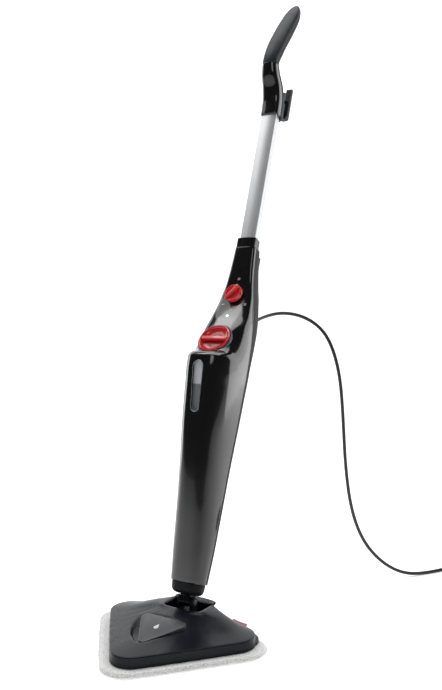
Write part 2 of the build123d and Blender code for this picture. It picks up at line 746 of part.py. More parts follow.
def cord_path():
    tip = (Pos(0, 0, TILT_Z) * Rot(-LEAN, 0, 0) * gland_axis() * Pos(0, 0, GLAND_LENGTH)).position
    along = Vector(0, math.cos(math.radians(GLAND_RISE)), math.sin(math.radians(GLAND_RISE)))
    x, y = coil_spot(COIL_ENTRY, COIL_MEAN_R + COIL_BAND / 2 + 2 * GAP)
    route = [tip, tip + along * 12, *[Vector(*p) for p in CORD_ROUTE[1:]], Vector(x, y, CORD_D / 2)]
    radii = []
    for a, b, c in zip(route, route[1:], route[2:]):
        before, after = b - a, c - b
        turn = math.radians(before.get_angle(after))
        radii.append(0.45 * min(before.length, after.length) / math.tan(turn / 2))
    return FilletPolyline(*route, radius=radii), radii, route


def mains_cord():
    path, radii, route = cord_path()
    section = Plane(origin=path @ 0, z_dir=path % 0) * Circle(CORD_D / 2)
    tube = sweep(section, path=path)
    runs = [(b - a).length for a, b in zip(route, route[1:])]
    print("cord radii", [round(r, 1) for r in radii])
    print("cord runs", [round(r, 1) for r in runs])
    print("tube volume", round(tube.volume), "section x length", round(math.pi * CORD_D**2 / 4 * path.length))
    print("tube length", round(path.length))
    return tube


def cord_coil():
    ring = slab(Circle(COIL_MEAN_R + COIL_BAND / 2) - Circle(COIL_MEAN_R - COIL_BAND / 2), 0.0, COIL_HEIGHT)
    ring = fillet(ring.edges(), 6)
    return Pos(*COIL_AT, 0) * ring


def coil_spot(angle, radius):
    x, y = COIL_AT
    return x + radius * math.cos(math.radians(angle)), y + radius * math.sin(math.radians(angle))


def cord_tie():
    """Twist band round the bundle of turns."""
    outer = box(-COIL_BAND / 2 - 1.2, COIL_BAND / 2 + 1.2, -5, 5, COIL_HEIGHT + 0.05, COIL_HEIGHT + 1.5)
    x, y = coil_spot(60, COIL_MEAN_R)
    return Pos(x, y, 0) * Rot(0, 0, 60) * outer


def mains_plug():
    """Round two-pin plug lying on top of the coil."""
    body = rod_x(12.0, 0, 26) + Pos(-8, 0, 0) * Rot(0, 90, 0) * Cone(5.0, 12.0, 16)
    x, y = coil_spot(240, COIL_MEAN_R)
    return Pos(x, y, COIL_HEIGHT + 12.1) * Rot(0, 0, PLUG_TURN) * body


def plug_pins():
    pins = [rod_x(2.4, 26, 45, y) for y in (-9.5, 9.5)]
    x, y = coil_spot(240, COIL_MEAN_R)
    return Pos(x, y, COIL_HEIGHT + 12.1) * Rot(0, 0, PLUG_TURN) * group(pins)


# ------------------------------------------------------------------ nodes
HEAD = [
    cleaning_pad, pad_tag, grip_strips, sole_plate, steam_nozzles, steam_manifold, head_shell,
    sole_screws, badge_bezel, head_badge, swivel_bracket, swivel_pin, hinge_cradle, tilt_pin,
    joint_hose, mains_cord, cord_coil, cord_tie, mains_plug, plug_pins,
]
STICK = [
    neck, base_cap, front_housing, control_panel, window_lens, rear_housing, housing_screws,
    water_tank, filler_neck, cap_seal, cap_plug, tank_cap, cap_surround, control_knob, knob_shaft, dial_switch,
    led_lens, control_board, pump, pump_mount, boiler, thermostat, suction_hose, pressure_hose,
    steam_hose, extension_tube, top_collar, tube_latch, lower_cord_hook, handle_front,
    handle_rear, grip_pad, hook_bracket, hook_pivot, upper_cord_hook, handle_screws, cord_gland,
]


def main():
    os.makedirs("parts", exist_ok=True)
    for make in HEAD:
        export_step(make(), f"parts/{make.__name__}.step")
    for make in STICK:
        export_step(stick(make()), f"parts/{make.__name__}.step")


if __name__ == "__main__":
    main()
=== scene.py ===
import logging
import math
from dataclasses import dataclass
from enum import Enum
from typing import Callable, Sequence

import bmesh
import bpy
from mathutils import Matrix, Vector, noise


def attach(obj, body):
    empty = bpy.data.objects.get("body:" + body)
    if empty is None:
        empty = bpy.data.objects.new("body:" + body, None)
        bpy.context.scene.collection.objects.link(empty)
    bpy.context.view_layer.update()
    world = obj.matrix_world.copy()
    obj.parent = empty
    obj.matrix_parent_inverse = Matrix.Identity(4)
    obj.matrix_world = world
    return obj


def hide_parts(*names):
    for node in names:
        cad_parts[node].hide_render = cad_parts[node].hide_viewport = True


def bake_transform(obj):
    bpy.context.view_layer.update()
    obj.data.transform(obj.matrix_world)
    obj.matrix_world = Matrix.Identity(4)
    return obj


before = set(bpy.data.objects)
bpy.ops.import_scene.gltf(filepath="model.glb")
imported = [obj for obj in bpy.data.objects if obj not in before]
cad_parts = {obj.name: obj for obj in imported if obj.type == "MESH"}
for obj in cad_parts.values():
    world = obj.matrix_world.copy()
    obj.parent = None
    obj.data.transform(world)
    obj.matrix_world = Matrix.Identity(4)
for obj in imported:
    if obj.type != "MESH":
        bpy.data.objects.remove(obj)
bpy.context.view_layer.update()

LOG = logging.getLogger("steam_mop")
MM = 0.001
LEAN = math.radians(18.5)
STICK = Matrix.Translation((0, 0, 54)) @ Matrix.Rotation(-LEAN, 4, "X")
GLAND = STICK @ Matrix.Translation((0, 33, 500)) @ Matrix.Rotation(math.radians(-51.5), 4, "X")
SCREW_STATIONS = (54, 186, 330, 450, 590)
CAP_SEAT = (-57.5, 457, 25)
DIAL_SEAT = (-16.4, 555, 11)
ROOM_LIGHT = 0.06
FLOOR_GLOW = 0.42
Colour = tuple[float, float, float]
Surface = Callable[[float, float], Vector]


class Body(Enum):
    """The bodies that pieces ride on."""

    HEAD = "head"
    CRADLE = "cradle"
    HOUSING = "housing"
    CAP_SEAT = "cap_seat"
    CAP = "cap"
    DIAL = "steam_dial"
    HOOK = "cord_hook"


class Side(Enum):
    """Which half of a two-part shell a surface makes."""

    FRONT = -1
    REAR = 1


# ------------------------------------------------------------------ shader groups and finishes
class ShaderGroups:
    """Surface effects that several finishes share, each built once as a node group."""

    _built: dict[str, bpy.types.NodeTree] = {}

    @classmethod
    def _start(
        cls, name: str, inputs: Sequence[tuple[str, str, float]], outputs: Sequence[str]
    ) -> bpy.types.NodeTree:
        """Makes an empty group with its sockets.

        Args:
            name: the group's name.
            inputs: name, socket type and default of each input.
            outputs: names of the float outputs.

        Returns:
            The new node tree.
        """
        tree = bpy.data.node_groups.new(name, "ShaderNodeTree")
        for label, kind, default in inputs:
            socket = tree.interface.new_socket(label, in_out="INPUT", socket_type=kind)
            if kind == "NodeSocketFloat":
                socket.default_value = default
        for label in outputs:
            tree.interface.new_socket(label, in_out="OUTPUT", socket_type="NodeSocketFloat")
        tree.nodes.new("NodeGroupInput")
        tree.nodes.new("NodeGroupOutput")
        return tree

    @classmethod
    def grain(cls) -> bpy.types.NodeTree:
        """Moulded grain: a fine height and a broad mottle, from object coordinates."""
        if "grain" in cls._built:
            return cls._built["grain"]
        tree = cls._start(
            "moulded_grain",
            [
                ("Vector", "NodeSocketVector", 0),
                ("Grain Scale", "NodeSocketFloat", 900),
                ("Mottle Scale", "NodeSocketFloat", 18),
            ],
            ["Height", "Mottle"],
        )
        enter, leave = tree.nodes["Group Input"], tree.nodes["Group Output"]
        fine = tree.nodes.new("ShaderNodeTexNoise")
        fine.inputs["Detail"].default_value = 3
        broad = tree.nodes.new("ShaderNodeTexNoise")
        broad.inputs["Detail"].default_value = 4
        for node, scale in ((fine, "Grain Scale"), (broad, "Mottle Scale")):
            tree.links.new(enter.outputs["Vector"], node.inputs["Vector"])
            tree.links.new(enter.outputs[scale], node.inputs["Scale"])
        tree.links.new(fine.outputs[0], leave.inputs["Height"])
        tree.links.new(broad.outputs[0], leave.inputs["Mottle"])
        cls._built["grain"] = tree
        return tree

    @classmethod
    def hairlines(cls) -> bpy.types.NodeTree:
        """Hairline wiping marks: a mask of short thin streaks along one axis."""
        if "hairlines" in cls._built:
            return cls._built["hairlines"]
        tree = cls._start(
            "hairline_marks",
            [
                ("Vector", "NodeSocketVector", 0),
                ("Scale", "NodeSocketFloat", 30),
                ("Threshold", "NodeSocketFloat", 0.62),
            ],
            ["Mask"],
        )
        enter, leave = tree.nodes["Group Input"], tree.nodes["Group Output"]
        stretch = tree.nodes.new("ShaderNodeMapping")
        stretch.inputs["Scale"].default_value = (9.0, 9.0, 1.0)
        streak = tree.nodes.new("ShaderNodeTexNoise")
        streak.inputs["Detail"].default_value = 6
        streak.inputs["Roughness"].default_value = 0.7
        keep = tree.nodes.new("ShaderNodeMapRange")
        keep.inputs["To Max"].default_value = 1.0
        keep.inputs["From Max"].default_value = 0.85
        tree.links.new(enter.outputs["Vector"], stretch.inputs["Vector"])
        tree.links.new(stretch.outputs[0], streak.inputs["Vector"])
        tree.links.new(enter.outputs["Scale"], streak.inputs["Scale"])
        tree.links.new(streak.outputs[0], keep.inputs["Value"])
        tree.links.new(enter.outputs["Threshold"], keep.inputs["From Min"])
        tree.links.new(keep.outputs[0], leave.inputs["Mask"])
        cls._built["hairlines"] = tree
        return tree

    @classmethod
    def loops(cls) -> bpy.types.NodeTree:
        """Terry loops: a height of small rounded tufts with loose strands between them."""
        if "loops" in cls._built:
            return cls._built["loops"]
        tree = cls._start(
            "terry_loops",
            [("Vector", "NodeSocketVector", 0), ("Scale", "NodeSocketFloat", 420)],
            ["Height", "Shade"],
        )
        enter, leave = tree.nodes["Group Input"], tree.nodes["Group Output"]
        warp = tree.nodes.new("ShaderNodeTexNoise")
        warp.inputs["Scale"].default_value = 160
        tuft = tree.nodes.new("ShaderNodeTexVoronoi")
        strand = tree.nodes.new("ShaderNodeTexNoise")
        strand.inputs["Detail"].default_value = 5
        invert = tree.nodes.new("ShaderNodeMath")
        invert.operation = "SUBTRACT"
        invert.inputs[0].default_value = 1.0
        blend = tree.nodes.new("ShaderNodeMath")
        blend.operation = "MULTIPLY_ADD"
        blend.inputs[1].default_value = 0.45
        tree.links.new(enter.outputs["Vector"], warp.inputs["Vector"])
        tree.links.new(enter.outputs["Vector"], tuft.inputs["Vector"])
        tree.links.new(enter.outputs["Vector"], strand.inputs["Vector"])
        tree.links.new(enter.outputs["Scale"], tuft.inputs["Scale"])
        tree.links.new(enter.outputs["Scale"], strand.inputs["Scale"])
        tree.links.new(tuft.outputs["Distance"], invert.inputs[1])
        tree.links.new(strand.outputs[0], blend.inputs[0])
        tree.links.new(invert.outputs[0], blend.inputs[2])
        tree.links.new(blend.outputs[0], leave.inputs["Height"])
        tree.links.new(warp.outputs[0], leave.inputs["Shade"])
        cls._built["loops"] = tree
        return tree


class MaterialSheet:
    """A material under construction: its Principled shader, object coordinates and links."""

    def __init__(self, name: str) -> None:
        """Starts a node material.

        Args:
            name: the material's name.
        """
        self.material = bpy.data.materials.new(name)
        self.material.use_nodes = True
        self.nodes = self.material.node_tree.nodes
        self.links = self.material.node_tree.links
        self.shader = self.nodes["Principled BSDF"]
        place = self.nodes.new("ShaderNodeTexCoord")
        turn = self.nodes.new("ShaderNodeMapping")
        self.links.new(place.outputs["Object"], turn.inputs["Vector"])
        self.turn = turn
        self.vector = turn.outputs[0]

    def group(self, tree: bpy.types.NodeTree, **values: float) -> bpy.types.ShaderNode:
        """Places a shared group, fed with the coordinates.

        Args:
            tree: the group's node tree.
            values: input values, with _ for a space in the input's name.

        Returns:
            The group node.
        """
        node = self.nodes.new("ShaderNodeGroup")
        node.node_tree = tree
        for key, value in values.items():
            node.inputs[key.replace("_", " ")].default_value = value
        self.links.new(self.vector, node.inputs["Vector"])
        return node

    def spread(self, source: bpy.types.NodeSocket, low: float, high: float, target: str) -> None:
        """Feeds a shader socket from a 0 to 1 value, mapped to low..high."""
        node = self.nodes.new("ShaderNodeMapRange")
        node.inputs["To Min"].default_value = low
        node.inputs["To Max"].default_value = high
        self.links.new(source, node.inputs["Value"])
        self.links.new(node.outputs[0], self.shader.inputs[target])

    def tint(self, source: bpy.types.NodeSocket, low: Colour, high: Colour) -> None:
        """Base colour that runs from low to high with a value."""
        ramp = self.nodes.new("ShaderNodeValToRGB")
        ramp.color_ramp.elements[0].position = 0.3
        ramp.color_ramp.elements[1].position = 0.7
        ramp.color_ramp.elements[0].color = (*low, 1)
        ramp.color_ramp.elements[1].color = (*high, 1)
        self.links.new(source, ramp.inputs[0])
        self.links.new(ramp.outputs[0], self.shader.inputs["Base Color"])

    def bump(self, source: bpy.types.NodeSocket, strength: float, distance: float) -> None:
        """Bump from a height, with its depth in metres."""
        node = self.nodes.new("ShaderNodeBump")
        node.inputs["Strength"].default_value = strength
        node.inputs["Distance"].default_value = distance
        self.links.new(source, node.inputs["Height"])
        self.links.new(node.outputs[0], self.shader.inputs["Normal"])


@dataclass(frozen=True)
class MouldedFinish:
    """Plastic, rubber or metal with grain, a little mottling and hairlines."""

    slot: str
    colour: Colour
    roughness: float
    grain_scale: float = 1200.0
    grain_depth: float = 0.00002
    roughness_spread: float = 0.06
    mottle: float = 0.12
    metallic: float = 0.0
    coat: float = 0.0
    sheen: float = 0.0
    specular: float = 0.5
    marks: float = 0.0
    streaks: bool = False

    def material(self) -> bpy.types.Material:
        """Builds the material.

        Returns:
            The finished material.
        """
        sheet = MaterialSheet(self.slot)
        shader = sheet.shader
        shader.inputs["Metallic"].default_value = self.metallic
        shader.inputs["Coat Weight"].default_value = self.coat
        shader.inputs["Coat Roughness"].default_value = 0.04
        shader.inputs["Sheen Weight"].default_value = self.sheen
        shader.inputs["Specular IOR Level"].default_value = self.specular
        if self.streaks:
            sheet.turn.inputs["Rotation"].default_value = (LEAN, 0, 0)
            sheet.turn.inputs["Scale"].default_value = (1.0, 1.0, 0.02)
        grain = sheet.group(ShaderGroups.grain(), Grain_Scale=self.grain_scale, Mottle_Scale=22.0)
        low = tuple(c * (1 - self.mottle) for c in self.colour)
        high = tuple(min(1.0, c * (1 + self.mottle)) for c in self.colour)
        sheet.tint(grain.outputs["Mottle"], low, high)
        if self.marks > 0:
            lines = sheet.group(ShaderGroups.hairlines(), Scale=40.0, Threshold=0.6)
            sheet.spread(lines.outputs["Mask"], self.roughness, self.roughness + self.marks, "Roughness")
        else:
            sheet.spread(grain.outputs["Mottle"], self.roughness - self.roughness_spread,
                         self.roughness + self.roughness_spread, "Roughness")
        sheet.bump(grain.outputs["Height"], 0.5, self.grain_depth)
        return sheet.material


@dataclass(frozen=True)
class PileFinish:
    """Looped or woven cloth, with painted shade: darker where the loops are low, between them."""

    slot: str
    low: Colour
    high: Colour
    scale: float
    depth: float

    def material(self) -> bpy.types.Material:
        """Builds the material."""
        sheet = MaterialSheet(self.slot)
        pile = sheet.group(ShaderGroups.loops(), Scale=self.scale)
        # painted shade: colour runs from low (shaded hollows between the loops) to high (loop tops) with the
        # loops' height
        sheet.tint(pile.outputs["Height"], self.low, self.high)
        sheet.spread(pile.outputs["Shade"], 0.85, 1.0, "Roughness")
        sheet.shader.inputs["Sheen Weight"].default_value = 0.35
        sheet.shader.inputs["Specular IOR Level"].default_value = 0.15
        sheet.bump(pile.outputs["Height"], 0.9, self.depth)
        return sheet.material


@dataclass(frozen=True)
class ClearFinish:
    """Clear or translucent plastic."""

    slot: str
    colour: Colour
    transmission: float
    roughness: float

    def material(self) -> bpy.types.Material:
        """Builds the material."""
        sheet = MaterialSheet(self.slot)
        grain = sheet.group(ShaderGroups.grain(), Grain_Scale=500.0, Mottle_Scale=30.0)
        sheet.tint(grain.outputs["Mottle"], tuple(c * 0.92 for c in self.colour), self.colour)
        sheet.spread(grain.outputs["Mottle"], self.roughness, self.roughness + 0.05, "Roughness")
        sheet.shader.inputs["Transmission Weight"].default_value = self.transmission
        sheet.shader.inputs["IOR"].default_value = 1.49
        return sheet.material


@dataclass(frozen=True)
class LevelFinish:
    """Frosted sight window: pale above the water's level and darker below it."""

    slot: str
    above: Colour
    below: Colour
    level: float

    def material(self) -> bpy.types.Material:
        """Builds the material."""
        sheet = MaterialSheet(self.slot)
        parts = sheet.nodes.new("ShaderNodeSeparateXYZ")
        edge = sheet.nodes.new("ShaderNodeMapRange")
        edge.inputs["From Min"].default_value = self.level - 0.001
        edge.inputs["From Max"].default_value = self.level + 0.001
        sheet.links.new(sheet.vector, parts.inputs[0])
        sheet.links.new(parts.outputs["Z"], edge.inputs["Value"])
        sheet.tint(edge.outputs[0], self.below, self.above)
        grain = sheet.group(ShaderGroups.grain(), Grain_Scale=700.0, Mottle_Scale=60.0)
        sheet.spread(grain.outputs["Mottle"], 0.12, 0.24, "Roughness")
        sheet.shader.inputs["Coat Weight"].default_value = 0.6
        return sheet.material


@dataclass(frozen=True)
class GlowFinish:
    """Lit lamp lens."""

    slot: str
    colour: Colour
    strength: float

    def material(self) -> bpy.types.Material:
        """Builds the material."""
        sheet = MaterialSheet(self.slot)
        grain = sheet.group(ShaderGroups.grain(), Grain_Scale=900.0, Mottle_Scale=400.0)
        sheet.tint(grain.outputs["Mottle"], tuple(c * 0.9 for c in self.colour), self.colour)
        sheet.spread(grain.outputs["Mottle"], 0.2, 0.35, "Roughness")
        sheet.shader.inputs["Emission Color"].default_value = (*self.colour, 1)
        sheet.shader.inputs["Emission Strength"].default_value = self.strength
        return sheet.material


FINISHES = [
    MouldedFinish("black_gloss", (0.004, 0.004, 0.0045), 0.13, 260, 0.000012, 0.03, coat=0.5, marks=0.10),
    MouldedFinish("grey_satin", (0.012, 0.013, 0.015), 0.42, 1600, 0.00003, 0.05, specular=0.14),
    MouldedFinish("head_black", (0.004, 0.005, 0.010), 0.28, 1500, 0.00002, 0.05, specular=0.20),
    MouldedFinish("soft_grip", (0.009, 0.010, 0.017), 0.5, 1900, 0.00004, 0.05, sheen=0.03, specular=0.3),
    MouldedFinish("red_gloss", (0.62, 0.018, 0.022), 0.2, 300, 0.000012, 0.04, 0.08, coat=0.4, marks=0.1),
    MouldedFinish("tube_silver", (0.70, 0.71, 0.72), 0.36, 3200, 0.000012, 0.05, 0.04, 0.85, streaks=True),
    MouldedFinish("steel", (0.50, 0.50, 0.51), 0.3, 1800, 0.00001, 0.06, metallic=1.0),
    MouldedFinish("brass", (0.58, 0.42, 0.18), 0.3, 1600, 0.00001, 0.06, metallic=1.0),
    MouldedFinish("boiler_cast", (0.42, 0.42, 0.43), 0.5, 900, 0.00008, 0.06, metallic=0.9),
    MouldedFinish("white_plastic", (0.68, 0.68, 0.66), 0.4, 1200, 0.00002, 0.05, 0.05),
    MouldedFinish("seal_rubber", (0.03, 0.03, 0.03), 0.6, 1500, 0.00003, 0.05),
    MouldedFinish("silicone", (0.50, 0.48, 0.45), 0.45, 1200, 0.00003, 0.05),
    MouldedFinish("cord_black", (0.012, 0.012, 0.013), 0.38, 1400, 0.00003, 0.05),
    MouldedFinish("badge_grey", (0.045, 0.047, 0.052), 0.34, 2200, 0.00002, 0.04, 0.06, 0.25),
    MouldedFinish("board_green", (0.02, 0.13, 0.05), 0.35, 1200, 0.00005, 0.05),
    # pile finishes: the first colour is painted shade in the hollows between the loops, the second is the
    # loops' tops
    PileFinish("pad_fabric", (0.58, 0.58, 0.575), (0.88, 0.88, 0.87), 430, 0.0011),
    PileFinish("hook_fabric", (0.03, 0.03, 0.03), (0.09, 0.09, 0.09), 900, 0.0003),
    PileFinish("tag_fabric", (0.62, 0.22, 0.28), (0.85, 0.50, 0.55), 1100, 0.0002),
    ClearFinish("tank_clear", (0.75, 0.80, 0.84), 0.85, 0.12),
    LevelFinish("clear_lens", (0.62, 0.64, 0.68), (0.20, 0.21, 0.22), 0.430),
    GlowFinish("led_white", (0.80, 1.0, 0.82), 1.6),
]


# ------------------------------------------------------------------ mesh helpers
class SmoothRows:
    """Values that run smoothly through rows, without overshoot between them."""

    def __init__(self, rows: Sequence[Sequence[float]]) -> None:
        """Keeps the rows and their slopes.

        Args:
            rows: the place along the piece, then the values there.
        """
        self.at = [row[0] for row in rows]
        self.values = [list(row[1:]) for row in rows]
        steps = [b - a for a, b in zip(self.at, self.at[1:])]
        count = len(self.values[0])
        rises = [
            [(b[k] - a[k]) / h for k in range(count)]
            for a, b, h in zip(self.values, self.values[1:], steps)
        ]
        self.slopes = [rises[0][:]]
        for before, after, h0, h1 in zip(rises, rises[1:], steps, steps[1:]):
            row = []
            for a, b in zip(before, after):
                mean = 3 * (h0 + h1) / ((2 * h1 + h0) / a + (h1 + 2 * h0) / b) if a * b > 0 else 0.0
                row.append(mean)
            self.slopes.append(row)
        self.slopes.append(rises[-1][:])

    def value(self, place: float) -> list[float]:
        """The values at a place.

        Args:
            place: the place along the piece.

        Returns:
            The interpolated values.
        """
        place = min(max(place, self.at[0]), self.at[-1])
        i = max(k for k, low in enumerate(self.at) if low <= place)
        i = min(i, len(self.at) - 2)
        h = self.at[i + 1] - self.at[i]
        t = (place - self.at[i]) / h
        a, b = (1 + 2 * t) * (1 - t) ** 2, t * t * (3 - 2 * t)
        c, d = t * (1 - t) ** 2 * h, t * t * (t - 1) * h
        return [
            a * p + b * q + c * m + d * n
            for p, q, m, n in zip(self.values[i], self.values[i + 1], self.slopes[i], self.slopes[i + 1])
        ]


def surface(columns: int, rows: int, shape: Surface, closed: bool = False) -> bmesh.types.BMesh:
    """A grid laid on a shape.

    Args:
        columns: faces across.
        rows: faces along.
        shape: place for a share across and a share along.
        closed: whether the grid's sides meet, or its ends close to a point.

    Returns:
        The bmesh, in millimetres.
    """
    bm = bmesh.new()
    bmesh.ops.create_grid(bm, x_segments=columns, y_segments=rows, size=0.5)
    for vert in bm.verts:
        vert.co = shape(vert.co.x + 0.5, vert.co.y + 0.5)
    if closed:
        bmesh.ops.remove_doubles(bm, verts=bm.verts, dist=0.02)
        bmesh.ops.recalc_face_normals(bm, faces=bm.faces)
    return bm


def face_away(bm: bmesh.types.BMesh, inside: Vector) -> None:
    """Turns an open shell's faces away from a point inside it."""
    total = sum(face.normal.dot(face.calc_center_median() - inside) * face.calc_area() for face in bm.faces)
    if total < 0:
        bmesh.ops.reverse_faces(bm, faces=bm.faces)


def lathe(profile: Sequence[tuple[float, float]], steps: int = 64) -> bmesh.types.BMesh:
    """Spins a profile of radius and height round Z into a closed piece."""
    bm = bmesh.new()
    verts = [bm.verts.new((radius, 0, height)) for radius, height in profile]
    edges = [bm.edges.new(pair) for pair in zip(verts, verts[1:])]
    bmesh.ops.spin(
        bm, geom=[*verts, *edges], cent=(0, 0, 0), axis=(0, 0, 1), angle=2 * math.pi,
        steps=steps, use_merge=True,
    )
    bmesh.ops.remove_doubles(bm, verts=bm.verts, dist=0.005)
    bmesh.ops.recalc_face_normals(bm, faces=bm.faces)
    return bm


def rod(radius: float, low: float, high: float, steps: int) -> bmesh.types.BMesh:
    """A closed cylinder along Z."""
    return lathe([(0, low), (radius, low), (radius, high), (0, high)], steps)


def block(
    size: Sequence[float], centre: Sequence[float], edge: float, segments: int = 3
) -> bmesh.types.BMesh:
    """A box with rounded edges."""
    bm = bmesh.new()
    bmesh.ops.create_cube(bm, size=1.0)
    bmesh.ops.scale(bm, vec=Vector(size), verts=bm.verts)
    bmesh.ops.bevel(
        bm, geom=bm.edges[:], offset=edge, segments=segments, profile=0.5, affect="EDGES", material=-1
    )
    bmesh.ops.translate(bm, vec=Vector(centre), verts=bm.verts)
    return bm


def plate(outline: Sequence[tuple[float, float]], low: float, high: float, edge: float) -> bmesh.types.BMesh:
    """A flat plate of any outline with rounded upper edges."""
    bm = bmesh.new()
    verts = [bm.verts.new((x, y, low)) for x, y in outline]
    face = bm.faces.new(verts)
    grown = bmesh.ops.extrude_face_region(bm, geom=[face])
    top = [item for item in grown["geom"] if isinstance(item, bmesh.types.BMVert)]
    bmesh.ops.translate(bm, vec=(0, 0, high - low), verts=top)
    bmesh.ops.recalc_face_normals(bm, faces=bm.faces)
    rim = [e for e in bm.edges if all(v.co.z > high - 0.01 for v in e.verts)]
    bmesh.ops.bevel(bm, geom=rim, offset=edge, segments=3, profile=0.5, affect="EDGES", material=-1)
    return bm


def bisect(bm: bmesh.types.BMesh, at: Vector, normal: Vector, **clear: bool) -> None:
    """Splits a bmesh along a plane, and may clear one side of it."""
    parts = [*bm.verts, *bm.edges, *bm.faces]
    bmesh.ops.bisect_plane(bm, geom=parts, plane_co=at, plane_no=normal, dist=0.001, **clear)


def joined(first: bmesh.types.BMesh, *others: bmesh.types.BMesh) -> bmesh.types.BMesh:
    """Puts several bmeshes into the first."""
    for other in others:
        mesh = bpy.data.meshes.new("joining")
        other.to_mesh(mesh)
        other.free()
        first.from_mesh(mesh)
        bpy.data.meshes.remove(mesh)
    return first


def panel_place(depth: float, station: float, slope: float) -> Matrix:
    """Place on the panel whose Z leaves it, for a depth, a station and the panel's slope."""
    turn = Matrix.Rotation(math.radians(90 - slope), 4, "X")
    return STICK @ Matrix.Translation((0, depth, station)) @ turn


def rearward(station: float) -> Matrix:
    """Place on the stick's axis, in the stick's frame, whose Z points to the rear."""
    return Matrix.Translation((0, 0, station)) @ Matrix.Rotation(math.radians(-90), 4, "X")


def half_section(half: float, reach: float, power: float, share: float, side: Side) -> tuple[float, float]:
    """Point on half of a rounded section.

    Args:
        half: half width.
        reach: distance from the parting line to the far side.
        power: squareness of the section.
        share: 0 to 1 from one side to the other.
        side: front or rear.

    Returns:
        Across and depth, from the middle of the parting line.
    """
    angle = math.pi * share
    c, s = math.cos(angle), math.sin(angle)
    radius = (abs(c / half) ** power + abs(s / reach) ** power) ** (-1 / power)
    return radius * c, side.value * radius * s


class Workshop:
    """Makes objects from bmeshes and hands out materials."""

    def __init__(self) -> None:
        """Builds every finish once."""
        self.materials = {finish.slot: finish.material() for finish in FINISHES}

    def piece(self, bm: bmesh.types.BMesh, name: str, slot: str, place: Matrix = Matrix.Identity(4),
              sharp: float = 38.0) -> bpy.types.Object:
        """Turns a bmesh in millimetres into an object in metres.

        Args:
            bm: the shape.
            name: the piece's name.
            slot: its finish.
            place: where its own frame stands in the row frame.
            sharp: angle above which an edge stays sharp.

        Returns:
            The new object.
        """
        bm.transform(Matrix.Scale(MM, 4) @ place)
        mesh = bpy.data.meshes.new(name)
        bm.to_mesh(mesh)
        bm.free()
        mesh.shade_smooth()
        mesh.set_sharp_from_angle(angle=math.radians(sharp))
        mesh.materials.append(self.materials[slot])
        obj = bpy.data.objects.new(name, mesh)
        bpy.context.scene.collection.objects.link(obj)
        obj["finish"] = slot
        return obj

    def thicken(self, obj: bpy.types.Object, wall: float) -> None:
        """Gives a shell its wall, inwards."""
        solid = obj.modifiers.new("wall", "SOLIDIFY")
        solid.thickness = wall * MM
        solid.offset = -1
        solid.use_even_offset = True

    def soften(self, obj: bpy.types.Object, width: float, segments: int = 2) -> None:
        """Rounds an object's sharp edges."""
        bevel = obj.modifiers.new("edges", "BEVEL")
        bevel.width = width * MM
        bevel.segments = segments
        bevel.limit_method = "ANGLE"
        bevel.angle_limit = math.radians(45)
        bevel.harden_normals = False

    def shell(
        self, bm: bmesh.types.BMesh, name: str, slot: str, wall: float, edge: float
    ) -> bpy.types.Object:
        """Makes an open surface of the stick into a walled piece with rounded edges."""
        obj = self.piece(bm, name, slot, STICK, 60)
        self.thicken(obj, wall)
        self.soften(obj, edge)
        return obj

    def cut(self, obj: bpy.types.Object, tools: Sequence[bmesh.types.BMesh], place: Matrix) -> None:
        """Cuts shapes out of an object, modifiers first.

        Args:
            obj: the piece to cut.
            tools: closed shapes in millimetres, in the place's frame.
            place: the tools' frame.
        """
        for tool in tools:
            cutter = self.piece(tool, "cutter", "steel", place)
            step = obj.modifiers.new("cut", "BOOLEAN")
            step.object = cutter
            step.operation = "DIFFERENCE"
            step.solver = "EXACT"
            self.settle(obj)
            bpy.data.objects.remove(cutter)

    def settle(self, obj: bpy.types.Object) -> None:
        """Applies an object's modifiers to its mesh."""
        bpy.context.view_layer.update()
        seen = obj.evaluated_get(bpy.context.evaluated_depsgraph_get())
        mesh = bpy.data.meshes.new_from_object(seen)
        obj.modifiers.clear()
        old = obj.data
        obj.data = mesh
        bpy.data.meshes.remove(old)

    def mount(self, obj: bpy.types.Object, body: Body, *nodes: str) -> bpy.types.Object:
        """Sets a piece on its body and in place of its CAD nodes."""
        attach(obj, body.value)
        if nodes:
            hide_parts(*nodes)
        LOG.info("piece %s on %s", obj.name, body.value)
        return obj

    def dress(self, slot: str, *nodes: str) -> None:
        """Gives CAD nodes a finish."""
        for name in nodes:
            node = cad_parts[name]
            for place in node.material_slots:
                place.material = self.materials[slot]
            if not node.material_slots:
                node.data.materials.append(self.materials[slot])


# ------------------------------------------------------------------ studio
@dataclass(frozen=True)
class Softbox:
    """One area light that looks at the mop."""

    name: str
    place: tuple[float, float, float]
    target: tuple[float, float, float]
    size: tuple[float, float]
    power: float


